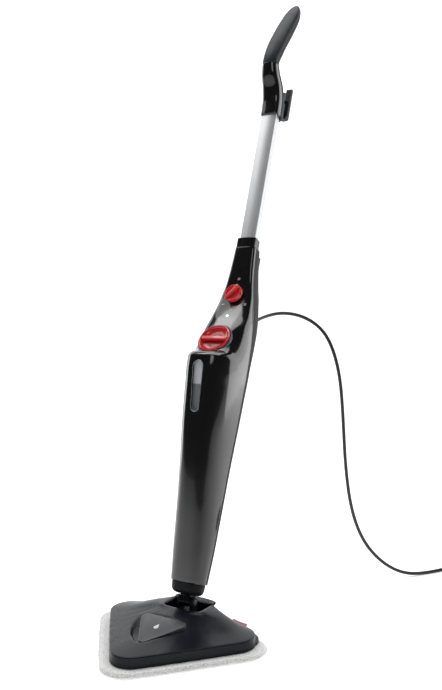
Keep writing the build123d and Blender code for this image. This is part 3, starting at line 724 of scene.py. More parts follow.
@dataclass
class Studio:
    """Camera, pale floor that curves up behind the mop, and soft light."""

    place: tuple[float, float, float] = (0.7995, -1.1681, 0.585)
    azimuth: float = 32.0
    pitch: float = math.degrees(math.atan(50 / 830))
    focal: float = 830.0
    view_height: float = 690.0
    sensor: float = 36.0
    wall_at: float = 2.6
    bend_radius: float = 1.4
    boxes: tuple[Softbox, ...] = (
        Softbox("side_right", (1.75, 2.1, 1.0), (0, 0.1, 0.45), (1.5, 2.2), 25),
        Softbox("side_left", (-1.75, 0.15, 0.9), (0, 0, 0.4), (0.5, 1.8), 8),
        Softbox("top_left", (-1.15, -0.25, 2.2), (0, 0.1, 0.5), (1.3, 1.0), 7),
        Softbox("front_fill", (1.6, -2.6, 2.4), (0, 0.1, 0.4), (1.4, 1.4), 14),
        Softbox("wash", (-0.4, 1.2, 4.4), (-0.9, 2.2, 0.3), (5.0, 3.4), 180),
    )

    def camera(self) -> None:
        """Sets the camera."""
        data = bpy.data.cameras.new("camera")
        data.sensor_fit = "VERTICAL"
        data.sensor_height = self.sensor
        data.lens = self.focal * self.sensor / self.view_height
        data.clip_end = 60
        camera = bpy.data.objects.new("camera", data)
        turn = math.radians(self.azimuth)
        camera.location = self.place
        camera.rotation_euler = (math.radians(90 - self.pitch), 0, turn)
        bpy.context.scene.collection.objects.link(camera)
        bpy.context.scene.camera = camera

    def floor(self) -> None:
        """Lays the floor and its curved rise."""
        turn = Matrix.Rotation(math.radians(self.azimuth), 4, "Z")
        start, radius = self.wall_at, self.bend_radius

        def sweep(across: float, along: float) -> Vector:
            """Flat, then a quarter bend, then a wall."""
            x, y, z = (across - 0.5) * 14, -5 + along * 13.0, 0.0
            if y > start:
                bend = min((y - start) / radius, math.pi / 2)
                z = radius * (1 - math.cos(bend)) + max(0.0, (y - start) - radius * math.pi / 2)
                y = start + radius * math.sin(bend)
            return turn @ Vector((x, y, z)) * 1000

        bm = surface(8, 120, sweep)
        mesh = bpy.data.meshes.new("floor")
        bm.transform(Matrix.Scale(MM, 4))
        bm.to_mesh(mesh)
        bm.free()
        mesh.shade_smooth()
        sheet = MaterialSheet("studio_floor")
        grain = sheet.group(ShaderGroups.grain(), Grain_Scale=60.0, Mottle_Scale=0.6)
        sheet.tint(grain.outputs["Mottle"], (0.90, 0.90, 0.90), (0.92, 0.92, 0.92))
        sheet.shader.inputs["Roughness"].default_value = 0.9
        sheet.shader.inputs["Emission Color"].default_value = (1, 1, 1, 1)
        sheet.shader.inputs["Emission Strength"].default_value = FLOOR_GLOW
        sheet.shader.inputs["Specular IOR Level"].default_value = 0.1
        mesh.materials.append(sheet.material)
        obj = bpy.data.objects.new("floor", mesh)
        bpy.context.scene.collection.objects.link(obj)

    def lights(self) -> None:
        """Hangs the soft lights and sets the room's own light."""
        for box in self.boxes:
            data = bpy.data.lights.new(box.name, "AREA")
            data.shape = "RECTANGLE"
            data.size, data.size_y = box.size
            data.energy = box.power
            light = bpy.data.objects.new(box.name, data)
            light.location = box.place
            aim = Vector(box.target) - Vector(box.place)
            light.rotation_euler = aim.to_track_quat("-Z", "Y").to_euler()
            bpy.context.scene.collection.objects.link(light)
        world = bpy.data.worlds.new("room")
        world.use_nodes = True
        nodes, links = world.node_tree.nodes, world.node_tree.links
        dim, pale = nodes["Background"], nodes.new("ShaderNodeBackground")
        dim.inputs[0].default_value = (0.95, 0.97, 1.0, 1)
        dim.inputs[1].default_value = ROOM_LIGHT
        pale.inputs[0].default_value = (1.0, 1.0, 1.0, 1)
        seen, mix = nodes.new("ShaderNodeLightPath"), nodes.new("ShaderNodeMixShader")
        links.new(seen.outputs["Is Camera Ray"], mix.inputs[0])
        links.new(dim.outputs[0], mix.inputs[1])
        links.new(pale.outputs[0], mix.inputs[2])
        links.new(mix.outputs[0], nodes["World Output"].inputs["Surface"])
        bpy.context.scene.world = world
        bpy.context.scene.view_settings.view_transform = "Standard"


# ------------------------------------------------------------------ mains cord
@dataclass
class MainsCord:
    """Free mains lead: from the rear gland to the floor and into its coil."""

    shop: Workshop
    diameter: float = 0.007
    length: float = 6.0
    coil_x: float = 0.352
    coil_y: float = 0.570
    mean: float = 0.050
    pitch: float = 0.0073
    columns: int = 4
    layers: int = 4
    per_turn: int = 24
    first_bearing: float = 180.0
    last_turn: float = 0.70
    plug_turn: float = 150.0

    def lead(self) -> list[Vector]:
        """Route from the gland's tip to the coil, in metres."""
        tip = Vector((0.0, 0.22003, 0.52857))
        rise = math.radians(20)
        straight = tip + Vector((0, math.cos(rise), math.sin(rise))) * 0.012
        rest = [
            (0.005, 0.266, 0.543), (0.020, 0.306, 0.550), (0.044, 0.338, 0.545), (0.069, 0.356, 0.530),
            (0.090, 0.362, 0.509), (0.105, 0.363, 0.483), (0.115, 0.367, 0.450), (0.121, 0.372, 0.410),
            (0.124, 0.376, 0.362), (0.126, 0.379, 0.310), (0.128, 0.382, 0.257), (0.132, 0.385, 0.206),
            (0.138, 0.390, 0.157), (0.148, 0.399, 0.112), (0.163, 0.412, 0.073), (0.184, 0.429, 0.042),
            (0.207, 0.449, 0.020), (0.229, 0.471, 0.008), (0.248, 0.496, 0.0038), (0.266, 0.521, 0.00355),
            (0.280, 0.545, 0.00355),
        ]
        return [tip, straight, *[Vector(p) for p in rest]]

    def on_coil(self, turns: float) -> Vector:
        """Place after some turns of the coil.

        Args:
            turns: how many turns have been wound.

        Returns:
            The centreline's place, in metres.
        """
        number = int(turns)
        part = turns - number
        layer, step = divmod(number, self.columns)
        column = self.columns - 1 - step if layer % 2 == 0 else step
        shift = min(1.0, max(0.0, (part - 0.90) / 0.10))
        lift = min(1.0, max(0.0, (part - 0.80) / 0.12))
        shift, lift = shift * shift * (3 - 2 * shift), lift * lift * (3 - 2 * lift)
        level = float(layer)
        if step == self.columns - 1:
            level += lift
        else:
            column += shift * (-1 if layer % 2 == 0 else 1)
        radius = self.mean + (column - (self.columns - 1) / 2) * self.pitch
        bearing = math.radians(self.first_bearing - 360 * turns)
        height = self.diameter / 2 + 0.00005 + level * self.pitch
        x, y = self.coil_x + radius * math.cos(bearing), self.coil_y + radius * math.sin(bearing)
        return Vector((x, y, height))

    def coil(self) -> list[Vector]:
        """Turns of the coil, then the rise to the plug's tail."""
        whole = self.columns * self.layers - 1 + self.last_turn
        count = int(whole * self.per_turn)
        turns = [self.on_coil(i / self.per_turn) for i in range(count + 1)]
        tail, along = self.plug_tail()
        rise = ((-0.044, -0.0105), (-0.026, -0.003), (-0.010, 0.0), (0.004, 0.0))
        return [*turns, *[tail + along * step + Vector((0, 0, drop)) for step, drop in rise]]

    def on_ring(self, bearing: float) -> tuple[float, float]:
        """Place on the middle of the coil's bundle, in millimetres, at a bearing in radians."""
        x = 1000 * (self.coil_x + self.mean * math.cos(bearing))
        y = 1000 * (self.coil_y + self.mean * math.sin(bearing))
        return x, y

    def plug_place(self) -> Matrix:
        """Frame of the plug, in millimetres: its axis is X."""
        x, y = self.on_ring(math.radians(240))
        return Matrix.Translation((x, y, 42.1)) @ Matrix.Rotation(math.radians(self.plug_turn), 4, "Z")

    def plug_tail(self) -> tuple[Vector, Vector]:
        """Where the cord enters the plug, in metres, and the plug's direction."""
        place = self.plug_place()
        tail = (place @ Vector((-16, 0, 0))) * MM
        return tail, (place.to_3x3() @ Vector((1, 0, 0))).normalized()

    def curve(self, points: Sequence[Vector], bevel: float) -> bpy.types.Object:
        """A smooth line through the route's points.

        Args:
            points: control points, in metres.
            bevel: radius of its tube, or 0 for a bare line.

        Returns:
            The curve object.
        """
        data = bpy.data.curves.new("cord_line", "CURVE")
        data.dimensions = "3D"
        data.resolution_u = 4
        data.bevel_depth = bevel
        data.bevel_resolution = 2
        data.use_fill_caps = bevel > 0
        spline = data.splines.new("NURBS")
        spline.points.add(len(points) - 1)
        for point, place in zip(spline.points, points):
            point.co = (*place, 1.0)
        spline.order_u = 3
        spline.use_endpoint_u = True
        obj = bpy.data.objects.new("cord_line", data)
        bpy.context.scene.collection.objects.link(obj)
        return obj

    def as_mesh(self, obj: bpy.types.Object) -> bpy.types.Mesh:
        """The mesh of a curve object, which is then removed."""
        bpy.context.view_layer.update()
        mesh = bpy.data.meshes.new_from_object(obj.evaluated_get(bpy.context.evaluated_depsgraph_get()))
        bpy.data.objects.remove(obj)
        return mesh

    def build(self) -> None:
        """Makes the lead, its gland, tie and plug."""
        points = [*self.lead(), *self.coil()]
        line = self.as_mesh(self.curve(points, 0.0))
        path = [tuple(v.co) for v in line.vertices]
        tube = self.as_mesh(self.curve(points, self.diameter / 2))
        tube.materials.clear()
        tube.materials.append(self.shop.materials["cord_black"])
        tube.shade_smooth()
        cord = bpy.data.objects.new("mains_lead", tube)
        bpy.context.scene.collection.objects.link(cord)
        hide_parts("mains_cord", "cord_coil")
        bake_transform(cord)
        plug, tie = self.plug(), self.tie()
        self.gland()
        tuple(points[0])

    def plug(self) -> bpy.types.Object:
        """Round moulded plug with grip rings."""
        profile = [(0, 26), (10.5, 26), (11.6, 25.2), (12, 24), (12, 19)]
        for ring in range(3):
            low = 17.5 - ring * 4
            profile += [(12, low), (11.2, low - 0.8), (11.2, low - 1.8), (12, low - 2.6)]
        profile += [(12, 4), (11.4, 0), (9.4, -5), (7, -10), (5.4, -14), (5, -16), (0, -16)]
        bm = lathe(profile, 48)
        bm.transform(Matrix.Rotation(math.radians(90), 4, "Y"))
        plug = self.shop.piece(bm, "plug_body", "cord_black", self.plug_place())
        return self.shop.mount(plug, Body.CRADLE, "mains_plug")

    def tie(self) -> bpy.types.Object:
        """Band over the bundle of turns."""
        spot = math.radians(60)
        x, y = self.on_ring(spot)

        def strap(across: float, along: float) -> Vector:
            """Over the top and down both sides."""
            side, height = half_section(15.5, 29.6, 5.0, along, Side.REAR)
            return Vector((side, (across - 0.5) * 9, height + 0.6))

        bm = surface(3, 48, strap)
        face_away(bm, Vector((0, 0, 12)))
        place = Matrix.Translation((x, y, 0)) @ Matrix.Rotation(spot, 4, "Z")
        band = self.shop.piece(bm, "coil_tie", "seal_rubber", place)
        self.shop.thicken(band, 1.0)
        self.shop.soften(band, 0.3)
        return self.shop.mount(band, Body.CRADLE, "cord_tie")

    def gland(self) -> None:
        """Tapered, ribbed strain relief."""
        profile = [(0, -18), (6, -18), (6, 1.5), (7.4, 1.8), (7.4, 3.6), (6.2, 4.2)]
        for rib in range(6):
            low = 5.2 + rib * 4
            wide = 6.0 - rib * 0.25
            profile += [(wide, low), (wide, low + 2.4), (wide - 0.9, low + 2.8), (wide - 0.9, low + 3.6)]
        profile += [(4.5, 30), (4.4, 31.5), (3.7, 32), (0, 32)]
        relief = self.shop.piece(lathe(profile, 40), "strain_relief", "cord_black", GLAND)
        self.shop.mount(relief, Body.HOUSING, "cord_gland")


# ------------------------------------------------------------------ stick housing
@dataclass
class StickHousing:
    """Gloss front shell, control panel, satin rear shell and sight window."""

    shop: Workshop
    parting: float = -4.0
    low: float = 32.0
    high: float = 652.0
    wall: float = 2.6
    seam_side: float = 511.0
    seam_nose: float = 428.0
    seam_depth: float = -72.0
    lens_back: float = 5.4
    window_low: tuple[float, float] = (327.5, 7.6)
    window_high: tuple[float, float] = (397.5, 10.0)
    sections: tuple[tuple[float, ...], ...] = (
        (32, 24, 34, 12, 2.8), (100, 37, 38, 12, 2.8), (170, 52, 39.5, 13, 2.8), (240, 67, 41, 14, 2.9),
        (316, 82, 44, 15, 3.0), (370, 91, 45.5, 16, 3.0), (405, 96.5, 46.5, 16.6, 3.0),
        (418, 97, 46.5, 17, 3.0),
        (424, 93, 46.5, 17.7, 3.0), (434, 75, 46.5, 19, 3.2), (457, 58, 46, 23, 3.6), (484, 45, 44, 29, 4.0),
        (510, 30, 41, 33, 4.2), (537, 20, 36, 35.5, 4.2), (555, 16, 33, 35.5, 4.0),
        (580, 13.5, 28, 33.5, 4.0),
        (610, 13.5, 24.5, 28, 4.0), (652, 13.5, 21.5, 21, 4.0),
    )

    def __post_init__(self) -> None:
        """Prepares the smooth sections."""
        self.rows = SmoothRows(self.sections)
        self.spacing = SmoothRows([(0, self.low), (0.42, 400), (0.62, 440), (0.8, 530), (1, self.high)])

    def front_shape(self, across: float, along: float) -> Vector:
        """Point on the front shell."""
        station = self.spacing.value(along)[0]
        front, half, _, power = self.rows.value(station)
        x, depth = half_section(half, front + self.parting, power, across, Side.FRONT)
        return Vector((x, self.parting + depth, station))

    def rear_shape(self, across: float, along: float) -> Vector:
        """Point on the rear shell."""
        station = self.low + (self.high - self.low) * along
        _, half, rear, _ = self.rows.value(station)
        x, depth = half_section(half - 0.5, rear - self.parting, 3.6, across, Side.REAR)
        return Vector((x, self.parting + 0.5 + depth * 0.98, station))

    def seam_split(self, panel: bool) -> bmesh.types.BMesh:
        """The front surface on one side of the panel's seam.

        Args:
            panel: whether to keep the panel's side.

        Returns:
            The bmesh.
        """
        lift = 0.5 if panel else 0.0
        bm = surface(84, 190, self.front_shape)
        slope = Vector((0, self.seam_nose - self.seam_side, self.parting - self.seam_depth)).normalized()
        slope_at = Vector((0, self.parting, self.seam_side + lift))
        nose_at = Vector((0, 0, self.seam_nose + lift))
        for at, normal in ((slope_at, slope), (nose_at, Vector((0, 0, 1)))):
            bisect(bm, at, normal)
        doomed = []
        for face in bm.faces:
            centre = face.calc_center_median()
            above = (centre - slope_at).dot(slope) > 0 and centre.z > nose_at.z
            if above != panel:
                doomed.append(face)
        bmesh.ops.delete(bm, geom=doomed, context="FACES")
        face_away(bm, Vector((0, 0, 400)))
        return bm

    def window_outline(self, grow: float, count: int = 14) -> list[tuple[float, float]]:
        """Outline of the sight window, across and station."""
        outline = []
        for (centre, size), start in ((self.window_high, 0.0), (self.window_low, math.pi)):
            radius = size + grow
            for i in range(count + 1):
                angle = start + math.pi * i / count
                outline.append((radius * math.cos(angle), centre + radius * math.sin(angle)))
        return outline

    def window_tool(self, grow: float) -> bmesh.types.BMesh:
        """Solid of the window's outline, which cuts it through the nose."""
        bm = plate(self.window_outline(grow), 0, 70, 0.01)
        bm.transform(Matrix.Translation((0, -60, 0)) @ Matrix.Rotation(math.radians(90), 4, "X"))
        return bm

    def window(self) -> None:
        """Frosted window, set back from the nose, with a thin rim."""
        def strip(across: float, along: float) -> Vector:
            """Surface just behind the nose."""
            station = 312.0 + 97.0 * along
            front, half, _, power = self.rows.value(station)
            reach = front - self.lens_back + self.parting
            x, depth = half_section(half - 3.0, reach, power, 0.39 + 0.22 * across, Side.FRONT)
            return Vector((x, self.parting + depth, station))

        bm = surface(14, 60, strip)
        face_away(bm, Vector((0, 0, 370)))
        lens = self.shop.piece(bm, "sight_window", "clear_lens", STICK)
        self.shop.thicken(lens, 1.6)
        self.shop.mount(lens, Body.HOUSING, "window_lens")
        outline = self.window_outline(0.5, 24)
        outline.append(outline[0])
        bead_radius = 0.5

        def bead(across: float, along: float) -> Vector:
            """Thin bead that follows the opening on the nose."""
            x, station = outline[int(round(across * (len(outline) - 1)))]
            front, half, _, power = self.rows.value(station)
            depth = (front + self.parting) * (1 - abs(x / half) ** power) ** (1 / power)
            nearest = min(max(station, self.window_low[0]), self.window_high[0])
            out = Vector((x, 0, station - nearest)).normalized()
            angle = 2 * math.pi * along
            ring = out * math.cos(angle) + Vector((0, -math.sin(angle), 0))
            return Vector((x, self.parting - depth, station)) + bead_radius * ring

        rim = self.shop.piece(surface(len(outline) - 1, 10, bead, True), "window_rim", "steel", STICK, 180)
        self.shop.mount(rim, Body.HOUSING)

    def build(self) -> None:
        """Makes the shells and cuts their openings."""
        front = self.shop.shell(self.seam_split(False), "front_shell", "black_gloss", self.wall, 0.7)
        self.shop.cut(front, [self.window_tool(0.0)], STICK)
        self.shop.mount(front, Body.HOUSING, "front_housing")
        panel = self.shop.shell(self.seam_split(True), "panel_shell", "black_gloss", self.wall, 0.7)
        hole = rod(32.4, -12, 30, 96)
        self.shop.cut(panel, [hole], panel_place(*CAP_SEAT))
        shaft = rod(4.4, -12, 30, 32)
        self.shop.cut(panel, [shaft], panel_place(*DIAL_SEAT))
        lamp = rod(2.7, -12, 30, 32)
        self.shop.cut(panel, [lamp], panel_place(-30.4, 509.5, 22))
        self.shop.mount(panel, Body.HOUSING, "control_panel")
        bm = surface(60, 120, self.rear_shape)
        face_away(bm, Vector((0, 0, 340)))
        rear = self.shop.shell(bm, "rear_shell", "grey_satin", self.wall, 0.6)
        for station in SCREW_STATIONS:
            hole = rod(3.6, 4, 60, 24)
            hole.transform(rearward(station))
            self.shop.cut(rear, [hole], STICK)
        exit_hole = rod(6.2, -34, 20, 32)
        self.shop.cut(rear, [exit_hole], GLAND)
        self.shop.mount(rear, Body.HOUSING, "rear_housing")
        sleeves = bmesh.new()
        for station in SCREW_STATIONS:
            back = self.rows.value(station)[2]
            low, high = back - 8, back - 0.8
            ring = lathe([(3.6, low), (4.6, low), (4.6, high), (3.6, high), (3.6, low)], 24)
            ring.transform(rearward(station))
            joined(sleeves, ring)
        self.shop.mount(self.shop.piece(sleeves, "screw_sleeves", "grey_satin", STICK), Body.HOUSING)
        self.window()


@dataclass
class BaseCap:
    """Boxy cap with rounded lower edges that closes the housing's lower end."""

    shop: Workshop
    sections: tuple[tuple[float, ...], ...] = (
        (0.0, 11.4, 0.01, 0.01, 0.01), (0.16, 11.5, 20, 12.0, 6.5), (0.30, 12.6, 24.5, 15.5, 8.2),
        (0.45, 15.4, 28, 18.6, 9.6), (0.6, 20, 30.2, 20.4, 10.4), (0.8, 30.2, 31.4, 21.6, 10.8),
        (0.9, 31.2, 30.6, 21.0, 10.4), (1.0, 31.3, 0.01, 0.01, 0.01),
    )

    def build(self) -> None:
        """Makes the cap."""
        rows = SmoothRows(self.sections)

        def skin(across: float, along: float) -> Vector:
            """Rounded section that closes at both ends."""
            station, half, front, rear = rows.value(along)
            angle = 2 * math.pi * across
            c, s = math.cos(angle), math.sin(angle)
            reach = rear if s > 0 else front
            radius = (abs(c / half) ** 2.8 + abs(s / reach) ** 2.8) ** (-1 / 2.8)
            return Vector((radius * c, radius * s - 2.0, station))

        bm = surface(96, 48, skin, True)
        self.shop.mount(self.shop.piece(bm, "base_cover", "grey_satin", STICK, 50), Body.HOUSING, "base_cap")


@dataclass
class TankCap:
    """Round filler cap with a finger bar between two hollows, and the rim it sits in."""

    shop: Workshop
    radius: float = 30.6

    def build(self) -> None:
        """Makes the cap, its bar and the rim."""
        place = panel_place(*CAP_SEAT)
        r = self.radius
        dish = [(0, -2.4), (14, -2.2), (21, -1.4), (25.4, 0.8), (27.0, 3.2), (27.9, 4.5), (28.8, 5.0),
                (29.8, 4.8), (30.4, 4.0), (r, 3.0), (r, -1.4), (r - 0.4, -1.8), (0, -1.8)]
        cap = self.shop.piece(lathe(dish, 96), "filler_cap", "red_gloss", place)
        self.shop.mount(cap, Body.CAP, "tank_cap")
        bar = block((54.5, 9.0, 8.4), (0, 0, 2.4), 2.2, 6)
        for vert in bar.verts:
            share = abs(vert.co.x) / 27.25
            vert.co.y *= 1.0 - 0.22 * (1 - share * share)
            vert.co.z += 0.8 * (1 - share * share) - 1.2 * share ** 4 if vert.co.z > 3 else 0.0
        self.shop.mount(self.shop.piece(bar, "cap_finger_bar", "red_gloss", place), Body.CAP)
        ring = [(31.3, -4), (31.3, 1.2), (31.6, 1.7), (32.2, 1.9), (32.9, 1.6), (33.3, 0.8), (33.5, -0.6),
                (33.5, -4), (31.3, -4)]
        rim = self.shop.piece(lathe(ring, 96), "cap_rim", "badge_grey", place)
        self.shop.mount(rim, Body.HOUSING, "cap_surround")


@dataclass
class SteamDial:
    """Steam dial with a wing pointer and its printed marks."""

    shop: Workshop
    radius: float = 18.0
    turn: float = -38.0

    def build(self) -> None:
        """Makes the dial and the four marks round it."""
        place = panel_place(*DIAL_SEAT)
        own = place @ Matrix.Translation((0, 0, 2.3)) @ Matrix.Rotation(math.radians(self.turn), 4, "Z")
        r = self.radius
        body = [(0, 6.3), (9, 6.4), (12.5, 6.9), (14.2, 7.6), (15.2, 7.9), (16.0, 7.7), (16.6, 7.0),
                (17.3, 3.0), (r - 0.2, 1.0), (r - 0.5, 0.5), (0, 0.5)]
        dial = self.shop.piece(lathe(body, 96), "dial_body", "red_gloss", own)
        self.shop.mount(dial, Body.DIAL, "control_knob")
        wing = block((7.0, 34.0, 8.0), (0, 0, 9.2), 2.0, 5)
        for vert in wing.verts:
            share = (vert.co.y + 17) / 34
            vert.co.x *= 0.62 + 0.65 * share
            vert.co.z -= 1.2 * (1 - share) if vert.co.z > 9 else 0.0
            if vert.co.y < -14:
                vert.co.y -= 1.2
        self.shop.mount(self.shop.piece(wing, "dial_wing", "red_gloss", own), Body.DIAL)
        self.marks(place)

    def marks(self, place: Matrix) -> None:
        """Four small generic marks: cloths and drops for more and less steam."""
        places = ((1.2, 32.0, 0), (-20.0, -20.5, 1), (1.3, -32.5, 1), (27.0, -20.0, 2))
        for index, (x, y, kind) in enumerate(places):
            bm = bmesh.new()
            if kind == 1:
                for k in (-1, 1):
                    drop = lathe([(0, 0.2), (1.0, 0.15), (1.3, 0), (0, 0)], 16)
                    drop.transform(Matrix.Translation((x + k * 1.7, y, 0)))
                    joined(bm, drop)
            else:
                for k in range(3):
                    strip = block((4.6 - 0.5 * kind, 0.9, 0.25), (x, y + (k - 1) * 1.7, 0.05), 0.08, 1)
                    joined(bm, strip)
            self.settle_on_panel(bm, place, x, y)
            self.shop.mount(self.shop.piece(bm, f"dial_mark_{index}", "white_plastic", place), Body.HOUSING)

    def settle_on_panel(self, bm: bmesh.types.BMesh, place: Matrix, x: float, y: float) -> None:
        """Lowers a mark onto the panel's surface.

        Args:
            bm: the mark, in the dial's frame.
            place: the dial's frame.
            x: the mark's middle, across the panel.
            y: the mark's middle, up the panel.
        """
        panel = bpy.data.objects["panel_shell"]
        bpy.context.view_layer.update()
        out = (place.to_3x3() @ Vector((0, 0, 1))).normalized()
        origin = (place @ Vector((x, y, 0))) * MM + out * 0.03
        seen = panel.evaluated_get(bpy.context.evaluated_depsgraph_get())
        hit, where, normal, _ = seen.ray_cast(origin, -out)
        if not hit:
            return
        drop = (where - (place @ Vector((x, y, 0))) * MM).dot(out) / MM
        local = (place.to_3x3().inverted() @ normal).normalized()
        tilt = Vector((0, 0, 1)).rotation_difference(local).to_matrix().to_4x4()
        bm.transform(Matrix.Translation((x, y, drop + 0.02)) @ tilt @ Matrix.Translation((-x, -y, 0)))


# ------------------------------------------------------------------ handle
@dataclass
class Handle:
    """Bent handle: gloss front shell, soft grip and satin rear shell."""

    shop: Workshop
    parting: float = 1.5
    wall: float = 2.0
    rows: tuple[tuple[float, ...], ...] = (
        (932, 3.5, 0, 19.5, 15.5, 3.9), (960, 1.5, -6, 19.5, 15.8, 3.7), (988, -9, -28, 19.0, 15.5, 3.2),
        (1012, -26, -24, 17.0, 14.5, 2.8), (1032, -32, 5, 15.5, 14.0, 2.6), (1062, -25, 20, 17.5, 15.0, 2.5),
        (1110, -6, 21, 18.0, 15.5, 2.5), (1158, 15, 22, 16.5, 14.0, 2.5), (1180, 24.0, 23, 13.0, 11.0, 2.4),
        (1192, 28.6, 25, 8.6, 7.4, 2.3), (1198.4, 31.2, 26, 3.6, 3.2, 2.2), (1200, 31.9, 26, 0.02, 0.02, 2.1),
    )

    def __post_init__(self) -> None:
        """Prepares the smooth rows."""
        self.smooth = SmoothRows(self.rows)
        self.spacing = SmoothRows([(0, 932), (0.75, 1160), (0.93, 1194), (1, 1200)])

    def shape(self, side: Side) -> Surface:
        """Surface of one half.

        Args:
            side: front or rear.

        Returns:
            The shape of that half.
        """
        def point(across: float, along: float) -> Vector:
            """Point on the half."""
            station = self.spacing.value(along)[0]
            depth, tilt, half, thick, power = self.smooth.value(station)
            parting = min(self.parting, thick * 0.1)
            reach = thick + parting if side is Side.FRONT else thick - parting
            x, y = half_section(half, reach, power, across, side)
            y += parting + (0.15 if side is Side.REAR else -0.15)
            angle = math.radians(tilt)
            return Vector((x, depth + y * math.cos(angle), station - y * math.sin(angle)))

        return point

    def front(self, grip: bool) -> bmesh.types.BMesh:
        """Front half, above or below the grip's seam."""
        bm = surface(48, 150, self.shape(Side.FRONT))
        tilt = math.radians(6)
        normal = Vector((0, -math.sin(tilt), math.cos(tilt)))
        at = Vector((0, -32, 1026 + (0.4 if grip else 0.0)))
        bisect(bm, at, normal, clear_inner=grip, clear_outer=not grip)
        bmesh.ops.remove_doubles(bm, verts=bm.verts, dist=0.03)
        face_away(bm, Vector((0, 5 if not grip else -2, 980 if not grip else 1110)))
        return bm

    def build(self) -> None:
        """Makes the front shell, the grip and the rear shell."""
        rear = surface(48, 150, self.shape(Side.REAR))
        bmesh.ops.remove_doubles(rear, verts=rear.verts, dist=0.03)
        face_away(rear, Vector((0, -4, 1060)))
        shells = (
            (self.front(False), "handle_front_shell", "black_gloss", 0.5, "handle_front"),
            (self.front(True), "grip_skin", "soft_grip", 0.6, "grip_pad"),
            (rear, "handle_rear_shell", "grey_satin", 0.5, "handle_rear"),
        )
        for bm, name, slot, edge, node in shells:
            shell = self.shop.shell(bm, name, slot, self.wall, edge)
            self.shop.mount(shell, Body.HOUSING, node)


# ------------------------------------------------------------------ head
@dataclass(frozen=True)
class Delta:
    """Rounded triangle with its tip towards the front."""

    half: float
    tip: float
    rear: float
    tip_r: float
    corner_r: float
    roof: float = 0.0
    bulge: float = 42.0

    def reach(self, centre: tuple[float, float], angle: float) -> float:
        """Distance from a centre to the outline.

        Args:
            centre: a point inside.
            angle: direction, in radians.

        Returns:
            The distance along that direction.
        """
        circles = [
            (self.half - self.corner_r, self.rear - self.roof - self.corner_r, self.corner_r),
            (self.corner_r - self.half, self.rear - self.roof - self.corner_r, self.corner_r),
            (0.0, self.tip + self.tip_r, self.tip_r),
        ]
        if self.roof > 0:
            circles.append((0.0, self.rear - self.bulge, self.bulge))
        best = 1e9
        for step in range(-88, 89, 2):
            turn = angle + math.radians(step)
            nx, ny = math.cos(turn), math.sin(turn)
            support = max(x * nx + y * ny + r for x, y, r in circles) - centre[0] * nx - centre[1] * ny
            best = min(best, support / math.cos(math.radians(step)))
        return best


